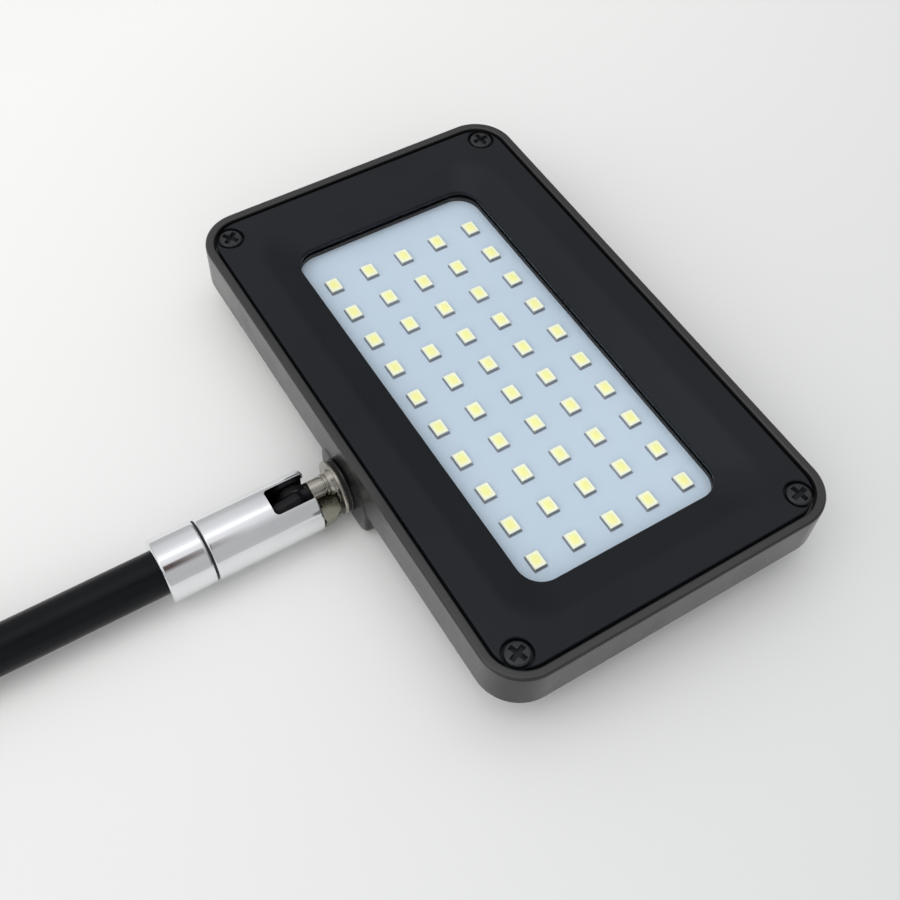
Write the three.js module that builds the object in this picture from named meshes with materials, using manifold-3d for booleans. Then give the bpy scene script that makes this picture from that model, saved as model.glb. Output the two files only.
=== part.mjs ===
// LED exhibition arm light: a flat rectangular lamp head on a chromed tilt-and-swivel
// knuckle, a straight black tube arm, and a small screw clamp at the far end.
// Units are millimetres, +Z up. The origin is the centre of the head's flat back face,
// and the window faces +Z. The arm runs along -X from the head, on the line
// y = AXIS_Y, z = AXIS_Z.
import * as THREE from 'three';
import { mergeVertices } from 'three/addons/utils/BufferGeometryUtils.js';
import Module from 'manifold-3d';

const wasm = await Module();
wasm.setup();

// ---------------------------------------------------------------- driving dimensions
// Rounded rectangles: width across X, length along Y, corner radius.
const HEAD = { width: 79.6, length: 129.9, radius: 9.3 };
const WINDOW = { width: 46.2, length: 97, radius: 5.2 };
const LENS = { width: 54, length: 104, radius: 7 };

// head housing, heights above the back face
const RIM_TOP = 19;
const RIM_WIDTH = 2;
const SIDE_BOTTOM = 8;          // lower edge of the upright side wall
const EDGE_BEVEL = 0.8;         // bevel on the side wall's upper and lower edges
const LEDGE = 1.5;              // width of the ledge under the bezel
const FLOOR_W = HEAD.width - 18;
const FLOOR_L = HEAD.length - 18;
// bezel and lens
const SEAM = 0.55;              // gap between rim and bezel
const BEZEL_TOP = 18.7;
const BEZEL_BOTTOM = BEZEL_TOP - 2;
const LEDGE_Z = BEZEL_BOTTOM - 0.05;
const WINDOW_EDGE = 16.2;       // height of the edge of the window opening
const FUNNEL = 6.8;             // width of the slope around the window
const LENS_TOP = 15.25;
const LENS_BOTTOM = LENS_TOP - 0.9;
// light engine
const LED_PITCH = 9;
const LED_COLS = 5;
const LED_ROWS = 10;
const LED_OFFSET_Y = -2;        // the grid sits a little towards -Y of the head centre
const LED_W = 2.8;
const LED_L = 3.5;
const LED_TOP = 14;
const BOARD_TOP = LED_TOP - 0.8;
const BOARD_BOTTOM = BOARD_TOP - 1.55;
const PAD_BOTTOM = BOARD_BOTTOM - 0.4;
// screw places: [x, y] of each bezel screw, y of each spreader screw
const SCREW_X = 33.3;
const SCREW_Y = 58.5;
const BEZEL_SCREWS = [[-1, 1], [1, 1], [-1, -1], [1, -1]]
  .map(([sideX, sideY]) => [sideX * SCREW_X, sideY * SCREW_Y]);
const SPREADER_SCREW_YS = [55, -55];
// arm line and stem
const AXIS_Y = -4.5;
const AXIS_Z = 6.8;
const ARM_AXIS = [AXIS_Y, AXIS_Z];
const WALL_X = -HEAD.width / 2;
const BOSS_X = -40.1;           // outer face of the boss the stem screws into
const FLANGE_X0 = -42.15;
const FLANGE_X1 = -41.3;
const NECK_Z = AXIS_Z + 3;      // the hollow neck stands above the pivot line
// knuckle
const SLEEVE_R = 6.8;
const SLEEVE_X0 = -70.65;
const SLEEVE_X1 = -47.3;
const SLEEVE_BORE = 5.3;
const COLLAR_X0 = -80.5;
const COLLAR_X1 = -71.05;
const SLOT_HALF = 3.3;
const SLOT_END_X = -56.2;
const PIVOT_X = -50.3;
const PIVOT_R = 1.5;
const EYE_R = 3.84;
// arm tube
const TUBE_R = 4.7;
const TUBE_WALL = 0.9;
const TUBE_LENGTH = 230;
const TUBE_X1 = -73.9;
const TUBE_X0 = TUBE_X1 - TUBE_LENGTH;
// clamp
const CLAMP_T = 12.8;           // thickness of the frame, along Z
const JAW_GAP = 26;
const FIXED_X1 = TUBE_X0 - 9;   // fixed jaw, next to the tube
const FIXED_X0 = TUBE_X0 - 15;
const BACK_X1 = FIXED_X0 - JAW_GAP;   // opposite jaw, which carries the screw
const BACK_X0 = BACK_X1 - 8;
const CLAMP_AXIS = [-10, AXIS_Z];     // [y, z] of the clamp screw
const FOOT_X = FIXED_X0 - 12;         // face of the foot pad that meets the work
// power lead
const LEAD_X = TUBE_X0 - 4;     // where the lead leaves the clamp
const LEAD_END_Y = -54;         // from the arm axis
const LEAD_END_Z = 5.2;

// ---------------------------------------------------------------- materials
const HOUSING_PAINT = { color: 0x131417, roughness: 0.32, metalness: 0.2 };
const CLAMP_PAINT = { ...HOUSING_PAINT, roughness: 0.4 };
const TUBE_PAINT = { ...HOUSING_PAINT, roughness: 0.45 };
const PLASTIC = { color: 0x1b1c20, roughness: 0.5, metalness: 0 };
const CLEAR = {
  color: 0xe8f0f4, roughness: 0.05, metalness: 0, transparent: true, opacity: 0.25,
};
const RUBBER = { color: 0x141414, roughness: 0.9, metalness: 0 };
const CABLE = { color: 0x101114, roughness: 0.5, metalness: 0 };
const RED_WIRE = { color: 0x9c1f1c, roughness: 0.6, metalness: 0 };
const BLACK_WIRE = { ...RED_WIRE, color: 0x151515 };
const LED_BOARD = { color: 0xcbd8e8, roughness: 0.4, metalness: 0 };
const THERMAL_PAD = { color: 0x9aa4ae, roughness: 0.9, metalness: 0 };
const CIRCUIT_BOARD = { color: 0x1e5c3a, roughness: 0.6, metalness: 0 };
const ALUMINIUM = { color: 0xb9bcc0, roughness: 0.4, metalness: 1 };
const BLACK_SCREW = { color: 0x1c1d20, roughness: 0.35, metalness: 0.6 };
const CHROME = { color: 0xd6d8dc, roughness: 0.08, metalness: 1 };
const NICKEL = { color: 0xa9a698, roughness: 0.25, metalness: 1 };
const BRASS = { color: 0xb08d4a, roughness: 0.35, metalness: 1 };
const STEEL = { color: 0x8f9296, roughness: 0.35, metalness: 1 };
const SMOOTH_STEEL = { ...STEEL, roughness: 0.3 };

// ---------------------------------------------------------------- solids
// Welds a geometry into a closed solid, with its triangles facing outward.
function solid(geometry) {
  geometry.deleteAttribute('normal');
  geometry.deleteAttribute('uv');
  const welded = mergeVertices(geometry, 1e-4);
  const position = welded.getAttribute('position');
  const index = welded.getIndex().array;
  const corners = [0, 1, 2].map(() => new THREE.Vector3());
  const triangles = [];
  let volume = 0;
  for (let i = 0; i < index.length; i += 3) {
    const [a, b, c] = index.slice(i, i + 3);
    if (a === b || b === c || a === c) continue;
    triangles.push(a, b, c);
    [a, b, c].forEach((vertex, k) => corners[k].fromBufferAttribute(position, vertex));
    volume += corners[0].dot(corners[1].cross(corners[2]));
  }
  if (volume < 0) {
    for (let i = 0; i < triangles.length; i += 3) {
      [triangles[i], triangles[i + 1]] = [triangles[i + 1], triangles[i]];
    }
  }
  return new wasm.Manifold(new wasm.Mesh({
    numProp: 3,
    vertProperties: new Float32Array(position.array),
    triVerts: new Uint32Array(triangles),
  }));
}

function toGeometry(body) {
  const { vertProperties, triVerts } = body.getMesh();
  const geometry = new THREE.BufferGeometry();
  geometry.setAttribute('position', new THREE.BufferAttribute(vertProperties, 3));
  geometry.setIndex(Array.from(triVerts));
  const flat = geometry.toNonIndexed();
  flat.computeVertexNormals();
  return flat;
}

const light = new THREE.Group();
function piece(name, material, body) {
  const mesh = new THREE.Mesh(toGeometry(body), new THREE.MeshStandardMaterial(material));
  mesh.name = name;
  light.add(mesh);
}

const join = (first, ...rest) => rest.reduce((body, other) => body.add(other), first);
const cut = (first, ...rest) => rest.reduce((body, other) => body.subtract(other), first);
// the range that reaches `half` to each side of `centre`
const about = (centre, half) => [centre - half, centre + half];

function box([x0, x1], [y0, y1], [z0, z1]) {
  const geometry = new THREE.BoxGeometry(x1 - x0, y1 - y0, z1 - z0);
  return solid(geometry.translate((x0 + x1) / 2, (y0 + y1) / 2, (z0 + z1) / 2));
}

// Turned solids: a closed profile of [distance along the axis, radius] pairs.
function lathe(profile, sides) {
  const points = [...profile, profile[0]]
    .map(([distance, radius]) => new THREE.Vector2(radius, distance));
  return new THREE.LatheGeometry(points, sides);
}
const turnX = (profile, sides, [y, z] = ARM_AXIS) =>
  solid(lathe(profile, sides).rotateZ(-Math.PI / 2).translate(0, y, z));
const turnY = (profile, sides, [x, z]) => solid(lathe(profile, sides).translate(x, 0, z));
const turnZ = (profile, sides, [x, y]) =>
  solid(lathe(profile, sides).rotateX(Math.PI / 2).translate(x, y, 0));

// moves a profile by `start` along its axis
const along = (start, profile) => profile.map(([d, radius]) => [start + d, radius]);
const ringProfile = ([inner, outer], [from, to]) =>
  [[from, inner], [from, outer], [to, outer], [to, inner]];
const rodX = (radius, span, sides, axis) => turnX(ringProfile([0, radius], span), sides, axis);
const rodY = (radius, span, sides, axis) => turnY(ringProfile([0, radius], span), sides, axis);
const rodZ = (radius, span, sides, axis) => turnZ(ringProfile([0, radius], span), sides, axis);
const ringX = (radii, span, sides) => turnX(ringProfile(radii, span), sides);

// Points of an arc, angles in degrees, both ends included.
function arcPoints(centreX, centreY, radius, startDeg, endDeg, steps) {
  return Array.from({ length: steps + 1 }, (_, i) => {
    const angle = ((startDeg + ((endDeg - startDeg) * i) / steps) * Math.PI) / 180;
    return [centreX + radius * Math.cos(angle), centreY + radius * Math.sin(angle)];
  });
}
// Quarter arcs round each corner: [arc centre, arc centre, start angle].
const roundedOutline = (corners, radius, steps) =>
  corners.flatMap(([x, y, start]) => arcPoints(x, y, radius, start, start + 90, steps));
// Points round a circle, taking the radii in turn.
function polygon(radii, count, [centreX, centreY] = [0, 0]) {
  return Array.from({ length: count }, (_, i) => {
    const angle = (2 * Math.PI * i) / count;
    const radius = radii[i % radii.length];
    return [centreX + radius * Math.cos(angle), centreY + radius * Math.sin(angle)];
  });
}
const toShape = (points) => new THREE.Shape(points.map(([x, y]) => new THREE.Vector2(x, y)));

// Prisms: an outline in the other two axes (YZ, XZ or XY) extruded over a span.
const extrude = (shape, [from, to], options = {}) =>
  new THREE.ExtrudeGeometry(shape, { depth: to - from, bevelEnabled: false, ...options });
function prismX(outline, span) {
  const yzToX = new THREE.Matrix4().set(
    0, 0, 1, span[0],
    1, 0, 0, 0,
    0, 1, 0, 0,
    0, 0, 0, 1,
  );
  return solid(extrude(toShape(outline), span).applyMatrix4(yzToX));
}
const prismY = (outline, span) =>
  solid(extrude(toShape(outline), span).rotateX(Math.PI / 2).translate(0, span[1], 0));
const prismZ = (outline, span) =>
  solid(extrude(toShape(outline), span).translate(0, 0, span[0]));

// Rounded rectangle, centred on the origin.
function roundRect({ width, length, radius: r }) {
  const shape = new THREE.Shape();
  const x = width / 2;
  const y = length / 2;
  shape.moveTo(-x + r, -y);
  shape.lineTo(x - r, -y);
  shape.absarc(x - r, -y + r, r, -Math.PI / 2, 0, false);
  shape.lineTo(x, y - r);
  shape.absarc(x - r, y - r, r, 0, Math.PI / 2, false);
  shape.lineTo(-x + r, y);
  shape.absarc(-x + r, y - r, r, Math.PI / 2, Math.PI, false);
  shape.lineTo(-x, -y + r);
  shape.absarc(-x + r, -y + r, r, Math.PI, Math.PI * 1.5, false);
  return shape;
}
const inset = ({ width, length, radius }, by) =>
  ({ width: width - 2 * by, length: length - 2 * by, radius: radius - by });
const slab = (rect, span, curveSegments = 5) =>
  solid(extrude(roundRect(rect), span, { curveSegments }).translate(0, 0, span[0]));
// Slab that starts and ends at `rect` and is wider by `grow` all round between,
// reached over the height `rise` at each end.
function flaredSlab(rect, [z0, z1], { rise, grow, bevelSegments }) {
  const geometry = extrude(roundRect(rect), [z0 + rise, z1 - rise], {
    bevelEnabled: true,
    bevelThickness: rise,
    bevelSize: grow,
    bevelSegments,
    curveSegments: 5,
  });
  return solid(geometry.translate(0, 0, z0 + rise));
}

// Round wire swept along points.
function sweep(points, radius, sides, steps) {
  const vectors = points.map((point) => new THREE.Vector3(...point));
  const extrudePath = new THREE.CatmullRomCurve3(vectors, false, 'centripetal');
  const section = toShape(polygon([radius], sides));
  section.closePath();
  return solid(new THREE.ExtrudeGeometry(section, { steps, extrudePath, bevelEnabled: false }));
}

// ---------------------------------------------------------------- head housing
const INNER = inset(HEAD, RIM_WIDTH);

// YZ outline of the boss that carries the stem
function bossOutline() {
  const radius = 3.2;
  const [yLow, yHigh] = about(AXIS_Y - 0.7, 9.8 - radius);
  const zLow = radius + 0.05;
  const zHigh = 12 - radius;
  const corners = [[yHigh, zLow, -90], [yHigh, zHigh, 0], [yLow, zHigh, 90], [yLow, zLow, 180]];
  return roundedOutline(corners, radius, 3);
}

// The space inside the housing, less the stock left standing in it.
function housingCavity() {
  const cavity = join(
    slab(inset(INNER, LEDGE), [SIDE_BOTTOM, LEDGE_Z]),
    slab(INNER, [LEDGE_Z, RIM_TOP + 1]),
    slab({ width: FLOOR_W, length: FLOOR_L, radius: 5 }, [2.2, SIDE_BOTTOM + 0.1]),
  );
  const driverPosts = [[-14, 14], [14, 14], [-14, 38], [14, 38]];
  return cut(
    cavity,
    ...BEZEL_SCREWS.map((place) => rodZ(3.7, [1, LEDGE_Z], 12, place)),
    ...SPREADER_SCREW_YS.map((y) => rodZ(3.2, [1, 9.15], 12, [0, y])),
    ...driverPosts.map((place) => rodZ(1.8, [1, 4], 10, place)),
    prismX(bossOutline(), [WALL_X, WALL_X + 9.5]),
  );
}

function rearHousing() {
  const wall = flaredSlab(inset(HEAD, EDGE_BEVEL), [SIDE_BOTTOM, RIM_TOP],
    { rise: EDGE_BEVEL, grow: EDGE_BEVEL, bevelSegments: 1 });
  // rounded back pan, kept only below the side wall
  const pan = flaredSlab({ width: FLOOR_W, length: FLOOR_L, radius: 6 }, [0, 18],
    { rise: 8.6, grow: 6.6, bevelSegments: 3 })
    .intersect(box([-60, 60], [-90, 90], [-1, SIDE_BOTTOM + 1]));
  const boss = prismX(bossOutline(), [BOSS_X, WALL_X + 11]);
  const grooveXs = [-22, -16, -10, -4, 4, 10, 16, 22];
  return cut(
    join(wall, pan, boss),
    housingCavity(),
    ...BEZEL_SCREWS.map((place) => rodZ(1.5, [7, LEDGE_Z + 1], 14, place)),
    ...SPREADER_SCREW_YS.map((y) => rodZ(1.3, [4, 10], 12, [0, y])),
    // stem bore
    rodX(3.55, [WALL_X - 1, WALL_X + 12], 28),
    // shallow cooling grooves in the back face
    ...grooveXs.map((x) => box(about(x, 1), [-46, 46], [-1, 0.9])),
  );
}
piece('rear_housing', HOUSING_PAINT, rearHousing());

// ---------------------------------------------------------------- front bezel
function frontBezel() {
  const plate = slab(inset(INNER, SEAM), [BEZEL_BOTTOM, BEZEL_TOP]);
  // thicker stock round the window, down to the lens
  const surround = slab(inset(WINDOW, -FUNNEL - 1.5), [LENS_TOP + 0.05, BEZEL_TOP - 0.5]);
  const slope = flaredSlab(WINDOW, [WINDOW_EDGE, WINDOW_EDGE + 12],
    { rise: BEZEL_TOP - WINDOW_EDGE, grow: FUNNEL, bevelSegments: 1 });
  // counterbore and clearance hole for each screw
  const screwHoles = BEZEL_SCREWS.flatMap((place) => [
    rodZ(3.1, [BEZEL_TOP - 0.9, BEZEL_TOP + 1], 20, place),
    rodZ(1.6, [10, 25], 12, place),
  ]);
  return cut(join(plate, surround), slope, slab(WINDOW, [10, 20]), ...screwHoles);
}
piece('front_bezel', PLASTIC, frontBezel());

// ---------------------------------------------------------------- lens and light engine
piece('lens_window', CLEAR, slab(LENS, [LENS_BOTTOM, LENS_TOP]));
piece('lens_gasket', RUBBER, cut(
  slab(LENS, [BOARD_TOP + 0.05, LENS_BOTTOM - 0.02]),
  slab(inset(WINDOW, -0.15), [5, 20]),
));

function ledBoard() {
  let board = slab({ width: 60, length: 105, radius: 2 }, [BOARD_BOTTOM, BOARD_TOP], 4);
  for (let i = 0; i < LED_COLS; i++) {
    for (let j = 0; j < LED_ROWS; j++) {
      const x = (i - (LED_COLS - 1) / 2) * LED_PITCH;
      const y = (j - (LED_ROWS - 1) / 2) * LED_PITCH + LED_OFFSET_Y;
      board = board.add(
        box(about(x, LED_W / 2), about(y, LED_L / 2), [BOARD_TOP - 0.2, LED_TOP]),
      );
    }
  }
  return board;
}
piece('led_board', LED_BOARD, ledBoard());
piece('thermal_pad', THERMAL_PAD,
  slab({ width: 58, length: 104, radius: 2 }, [PAD_BOTTOM, BOARD_BOTTOM - 0.02], 4));

function heatSpreader() {
  const through = [5, 20];
  return cut(
    slab({ width: 60, length: 117.5, radius: 3 }, [9.2, PAD_BOTTOM - 0.02], 3),
    // notch around the stem's lock nut
    box([-32, -27], about(AXIS_Y, 6.4), through),
    // notch for the light board's wires
    box([26.5, 32], [18.4, 24.6], through),
    ...SPREADER_SCREW_YS.map((y) => rodZ(1.6, through, 20, [0, y])),
    // corner notches that clear the bezel screw posts
    ...BEZEL_SCREWS.map((place) => rodZ(4.4, through, 24, place)),
  );
}
piece('heat_spreader', ALUMINIUM, heatSpreader());

// slotted screw
function spreaderScrew(y) {
  const seat = PAD_BOTTOM;
  const profile = [
    [5, 0], [5, 1.15], [seat, 1.15], [seat, 2.3], [seat + 0.9, 2.3], [seat + 1.3, 1.4],
    [seat + 1.3, 0],
  ];
  return cut(
    turnZ(profile, 20, [0, y]),
    box(about(0, 0.3), about(y, 1.6), [seat + 0.8, seat + 2]),
  );
}
SPREADER_SCREW_YS.forEach((y, i) => {
  piece(`spreader_screw_${i + 1}`, STEEL, spreaderScrew(y));
});

// cross-recessed screw
function bezelScrew([x, y]) {
  const seat = BEZEL_TOP - 0.85;
  const profile = [
    [7.5, 0], [7.5, 1.35], [seat, 1.35], [seat, 2.5], [seat + 0.45, 2.5], [seat + 0.8, 2.1],
    [seat + 0.95, 1.2], [seat + 0.97, 0],
  ];
  const recess = [seat + 0.2, seat + 2];
  const slotHalfWidth = 0.33;
  const slotHalfLength = 1.7;
  return cut(
    turnZ(profile, 14, [x, y]),
    box(about(x, slotHalfWidth), about(y, slotHalfLength), recess),
    box(about(x, slotHalfLength), about(y, slotHalfWidth), recess),
  );
}
BEZEL_SCREWS.forEach((place, i) => {
  piece(`bezel_screw_${i + 1}`, BLACK_SCREW, bezelScrew(place));
});

// driver board with two round and four square-cornered components
piece('driver_board', CIRCUIT_BOARD, join(
  box([-17, 17], [11, 41], [4.05, 5.25]),
  rodZ(3, [5, 8.6], 20, [-9, 20]),
  box([2, 9], [15, 22], [5, 8.2]),
  rodZ(1.9, [5, 8.4], 16, [12, 31]),
  box([-12, -6], [29, 33], [5, 6.4]),
  box([-2, 4], [27, 31], [5, 6.2]),
  box([-14.5, -8.5], [36, 40], [5, 7.6]),
));

// Wire from the driver to the light board, up past the edge of the spreader.
function ledWire(y) {
  // [x, z]
  const path = [
    [17.8, 6.2], [22, 6], [26.8, 7.2], [29.5, 9.2],
    [31.4, 11.4], [31.5, 13.2], [30.4, 14.2], [28.9, 14.1],
  ];
  return sweep(path.map(([x, z]) => [x, y, z]), 0.55, 6, 16);
}
piece('led_wire_plus', RED_WIRE, ledWire(20));
piece('led_wire_minus', BLACK_WIRE, ledWire(23));

// ---------------------------------------------------------------- stem and pivot eye
// cable line from the neck down to the arm axis and through the housing wall
const STEM_CABLE_PATH = [
  [PIVOT_X + 3.2, AXIS_Y, NECK_Z],
  [-45, AXIS_Y, NECK_Z],
  [-43.3, AXIS_Y, NECK_Z - 0.6],
  [-41.2, AXIS_Y, AXIS_Z + 0.9],
  [-38.5, AXIS_Y, AXIS_Z],
  [-29, AXIS_Y, AXIS_Z],
];

function stemFitting() {
  const neckAxis = [AXIS_Y, NECK_Z];
  const neck = rodX(2.05, [-47.4, FLANGE_X0], 28, neckAxis);
  const shoulderProfile = [
    [-43.7, 0], [-43.7, 2.5], [-43.2, 2.75], [FLANGE_X0, 2.75], [FLANGE_X0, 0],
  ];
  const shoulder = turnX(shoulderProfile, 28, neckAxis)
    .intersect(box([-60, 0], [-20, 20], [AXIS_Z + 0.45, 30]));
  // shank through the housing boss
  const shank = turnX([
    [FLANGE_X0 - 0.2, 0], [FLANGE_X0 - 0.2, 3.2], [FLANGE_X0, 3.4], [-28.6, 3.4],
    [-28.1, 3], [-28.1, 0],
  ], 28);
  // eye plate on the +Y side of the arm axis
  const eye = prismY([
    ...arcPoints(PIVOT_X, AXIS_Z, EYE_R, 90, 360, 15),
    [PIVOT_X + EYE_R, AXIS_Z + 0.8],
    [-44.6, AXIS_Z + 0.85],
    [-44.6, AXIS_Z + 4.6],
    [PIVOT_X + 2.4, AXIS_Z + 4.6],
  ], [AXIS_Y + 0.9, AXIS_Y + 2.55]);
  const borePath = [[-52, AXIS_Y, NECK_Z], ...STEM_CABLE_PATH, [-26, AXIS_Y, AXIS_Z]];
  return cut(
    join(neck, shoulder, shank, eye),
    rodY(PIVOT_R + 0.1, about(AXIS_Y, 5), 24, [PIVOT_X, AXIS_Z]),
    sweep(borePath, 1.52, 8, 14),
  );
}
piece('stem_fitting', NICKEL, stemFitting());
piece('stem_flange', NICKEL, ringX([3.45, 6], [FLANGE_X0, FLANGE_X1], 28));
piece('stem_gasket', { ...RUBBER, roughness: 0.8 },
  ringX([3.5, 5.6], [FLANGE_X1 + 0.02, -40.77], 28));
piece('stem_washer', STEEL, ringX([3.5, 5.9], [-40.74, BOSS_X - 0.03], 28));
piece('stem_lock_nut', BRASS, cut(
  prismX(polygon([5.1], 6, ARM_AXIS), [-30.25, -28.65]),
  rodX(3.45, [-40, -20], 36),
));
// from the neck through the stem and across to the driver board
piece('head_cable', CABLE, sweep([
  ...STEM_CABLE_PATH,
  [-24, AXIS_Y - 0.3, AXIS_Z],
  [-20, AXIS_Y + 3, AXIS_Z - 1.4],
  [-17.5, AXIS_Y + 9, AXIS_Z - 2.2],
  [-17.9, AXIS_Y + 14.9, AXIS_Z + 0.05],
], 1.2, 8, 28));

// ---------------------------------------------------------------- knuckle
// Chromed sleeve, slotted on its crest at the head end.
function knuckleSleeve() {
  const tube = turnX([
    [SLEEVE_X0, 3.65],
    [SLEEVE_X0, SLEEVE_R - 0.25],
    [SLEEVE_X0 + 0.25, SLEEVE_R],
    [SLEEVE_X1 - 0.35, SLEEVE_R],
    [SLEEVE_X1, SLEEVE_R - 0.35],
    [SLEEVE_X1, SLEEVE_BORE],
    [SLEEVE_X0 + 2.25, SLEEVE_BORE],
    [SLEEVE_X0 + 2.25, 3.65],
  ], 36);
  return cut(tube, box(
    [SLOT_END_X, SLEEVE_X1 + 1],
    [AXIS_Y - SLOT_HALF - 0.3, AXIS_Y + SLOT_HALF - 0.5],
    [AXIS_Z, AXIS_Z + 10],
  ));
}
piece('knuckle_sleeve', CHROME, knuckleSleeve());

// Core inside the sleeve. Its lower half stands out of the sleeve as a blunt nose, and
// its flat top stops the stem when the head is in line with the arm.
function knuckleCore() {
  const coreR = SLEEVE_BORE - 0.05;
  const core = turnX([
    [-61.2, 0], [-61.2, coreR], [SLEEVE_X1 - 0.3, coreR], [SLEEVE_X1 + 0.15, coreR],
    [SLEEVE_X1 + 0.45, 6.6], [-45.1, 6.55], [-43.8, 6.1], [-42.95, 5.3], [-42.6, 4.4],
    [-42.6, 0],
  ], 36);
  const nose = [SLEEVE_X1 - 0.25, -40];
  const top = AXIS_Z + 12;
  return cut(
    core,
    // flat top of the nose
    box(nose, about(AXIS_Y, 12), [AXIS_Z + 0.4, top]),
    // slot for the eye
    box([SLOT_END_X, PIVOT_X + EYE_R + 0.35], about(AXIS_Y, SLOT_HALF), [AXIS_Z - 4.25, top]),
    // step down the +Y side of the nose
    box(nose, [AXIS_Y + 0.75, AXIS_Y + 12], [AXIS_Z - 3.4, top]),
    // cable bore and pivot hole
    rodX(2.3, [-70, SLOT_END_X + 1], 16, [AXIS_Y, AXIS_Z + 1.2]),
    rodY(PIVOT_R + 0.02, about(AXIS_Y, 8), 32, [PIVOT_X, AXIS_Z]),
  );
}
piece('knuckle_core', { ...NICKEL, roughness: 0.3 }, knuckleCore());
piece('pivot_pin', SMOOTH_STEEL, rodY(PIVOT_R, about(AXIS_Y, 5), 32, [PIVOT_X, AXIS_Z]));
piece('pivot_washer', SMOOTH_STEEL, turnY(
  ringProfile([PIVOT_R + 0.1, 3.1], [AXIS_Y + 2.6, AXIS_Y + 3.05]), 28, [PIVOT_X, AXIS_Z],
));
piece('knuckle_cable', CABLE, sweep([
  [-61.6, AXIS_Y, AXIS_Z + 0.4],
  [-60, AXIS_Y, AXIS_Z + 0.7],
  [-58, AXIS_Y, AXIS_Z + 1.1],
  [-56.6, AXIS_Y, AXIS_Z + 1.25],
], 1.6, 10, 6));

// ---------------------------------------------------------------- swivel and arm
piece('arm_collar', CHROME, turnX([
  [COLLAR_X0, TUBE_R + 0.05],
  [COLLAR_X0, SLEEVE_R - 0.35],
  [COLLAR_X0 + 0.35, SLEEVE_R],
  [COLLAR_X1 - 0.25, SLEEVE_R],
  [COLLAR_X1, SLEEVE_R - 0.25],
  [COLLAR_X1, 3.52],
  [TUBE_X1 + 0.05, 3.52],
  [TUBE_X1 + 0.05, TUBE_R + 0.05],
], 30));
piece('swivel_washer', { ...RUBBER, roughness: 0.7 },
  ringX([3.7, 6.45], [COLLAR_X1 + 0.03, SLEEVE_X0 - 0.05], 32));
piece('swivel_post', BRASS, turnX([
  [-84, 2.2], [-84, 3.7], [-73.95, 3.7], [-73.95, 3.5],
  [-62.6, 3.5], [-62.2, 3.2], [-62.2, 2.2],
], 32));
piece('swivel_spring_washer', SMOOTH_STEEL, ringX([3.6, 5], [-68.3, -67.3], 28));
// hexagonal: a rod with six sides
piece('swivel_lock_nut', STEEL, cut(rodX(4.95, [-67.2, -64.4], 6), rodX(3.56, [-70, -60], 28)));
piece('arm_tube', TUBE_PAINT, ringX([TUBE_R - TUBE_WALL, TUBE_R], [TUBE_X0, TUBE_X1], 32));
piece('arm_cable', CABLE, rodX(1.9, [TUBE_X0 + 1, -63], 16));

// ---------------------------------------------------------------- clamp
function clampFrame() {
  const yTop = 18;
  const yTip = -20;
  const yInner = yTop - 6;
  const outerR = 4;
  const innerR = 3;
  // arcs as [x, y, radius, start angle, end angle]: the outer outline, then the jaw
  // opening that faces -Y
  const arcs = [
    [FIXED_X1 - 2, yTip + 2, 2, -90, 0],
    [FIXED_X1 - outerR, yTop - outerR, outerR, 0, 90],
    [BACK_X0 + outerR, yTop - outerR, outerR, 90, 180],
    [BACK_X0 + 2, yTip + 2, 2, 180, 270],
    [BACK_X1 - 1.5, yTip + 1.5, 1.5, -90, 0],
    [BACK_X1 + innerR, yInner - innerR, innerR, 180, 90],
    [FIXED_X0 - innerR, yInner - innerR, innerR, 90, 0],
    [FIXED_X0 + 1.5, yTip + 1.5, 1.5, 180, 270],
  ];
  const frame = prismZ(arcs.flatMap((arc) => arcPoints(...arc, 4)), [0, CLAMP_T]);
  const socket = turnX(along(TUBE_X0, [
    [-10, 0], [-10, 6.4], [13.4, 6.4], [14, 5.9], [14, 0],
  ]), 36);
  return cut(
    join(frame, socket),
    // tube bore, then the chamber behind it and its side outlet for the lead
    rodX(TUBE_R + 0.06, [TUBE_X0 - 0.05, TUBE_X0 + 20], 36),
    rodX(3.7, [TUBE_X0 - 8, TUBE_X0 + 1], 24),
    rodY(2.9, [AXIS_Y - 12, AXIS_Y], 28, [LEAD_X, AXIS_Z]),
    // holes for the grub screw and the clamp screw
    rodY(2.05, [AXIS_Y + 3, AXIS_Y + 9], 20, [TUBE_X0 + 7, AXIS_Z]),
    rodX(3.12, [BACK_X0 - 2, BACK_X1 + 2], 36, CLAMP_AXIS),
  );
}
piece('clamp_frame', CLAMP_PAINT, clampFrame());

const JAW_PAD_CORNERS = [[-3, 10.3, 0], [-16.5, 10.3, 90], [-16.5, 2.5, 180], [-3, 2.5, 270]];
piece('fixed_jaw_pad', RUBBER,
  prismX(roundedOutline(JAW_PAD_CORNERS, 1.5, 4), [FIXED_X0 - 1.25, FIXED_X0 - 0.02]));
piece('base_ring', CHROME, turnX(along(TUBE_X0, [
  [14.05, TUBE_R + 0.05], [14.05, 6.1], [14.35, 6.4], [19.6, 6.4], [20, 6],
  [20, TUBE_R + 0.05],
]), 30));

// Screw that bears on the tube, with a hexagon socket.
function baseGrubScrew() {
  const place = [TUBE_X0 + 7, AXIS_Z];
  return cut(
    rodY(1.95, [AXIS_Y + TUBE_R + 0.03, AXIS_Y + 6.5], 20, place),
    prismY(polygon([1], 6, place), [AXIS_Y + 5.4, AXIS_Y + 8]),
  );
}
piece('base_grub_screw', STEEL, baseGrubScrew());

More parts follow.
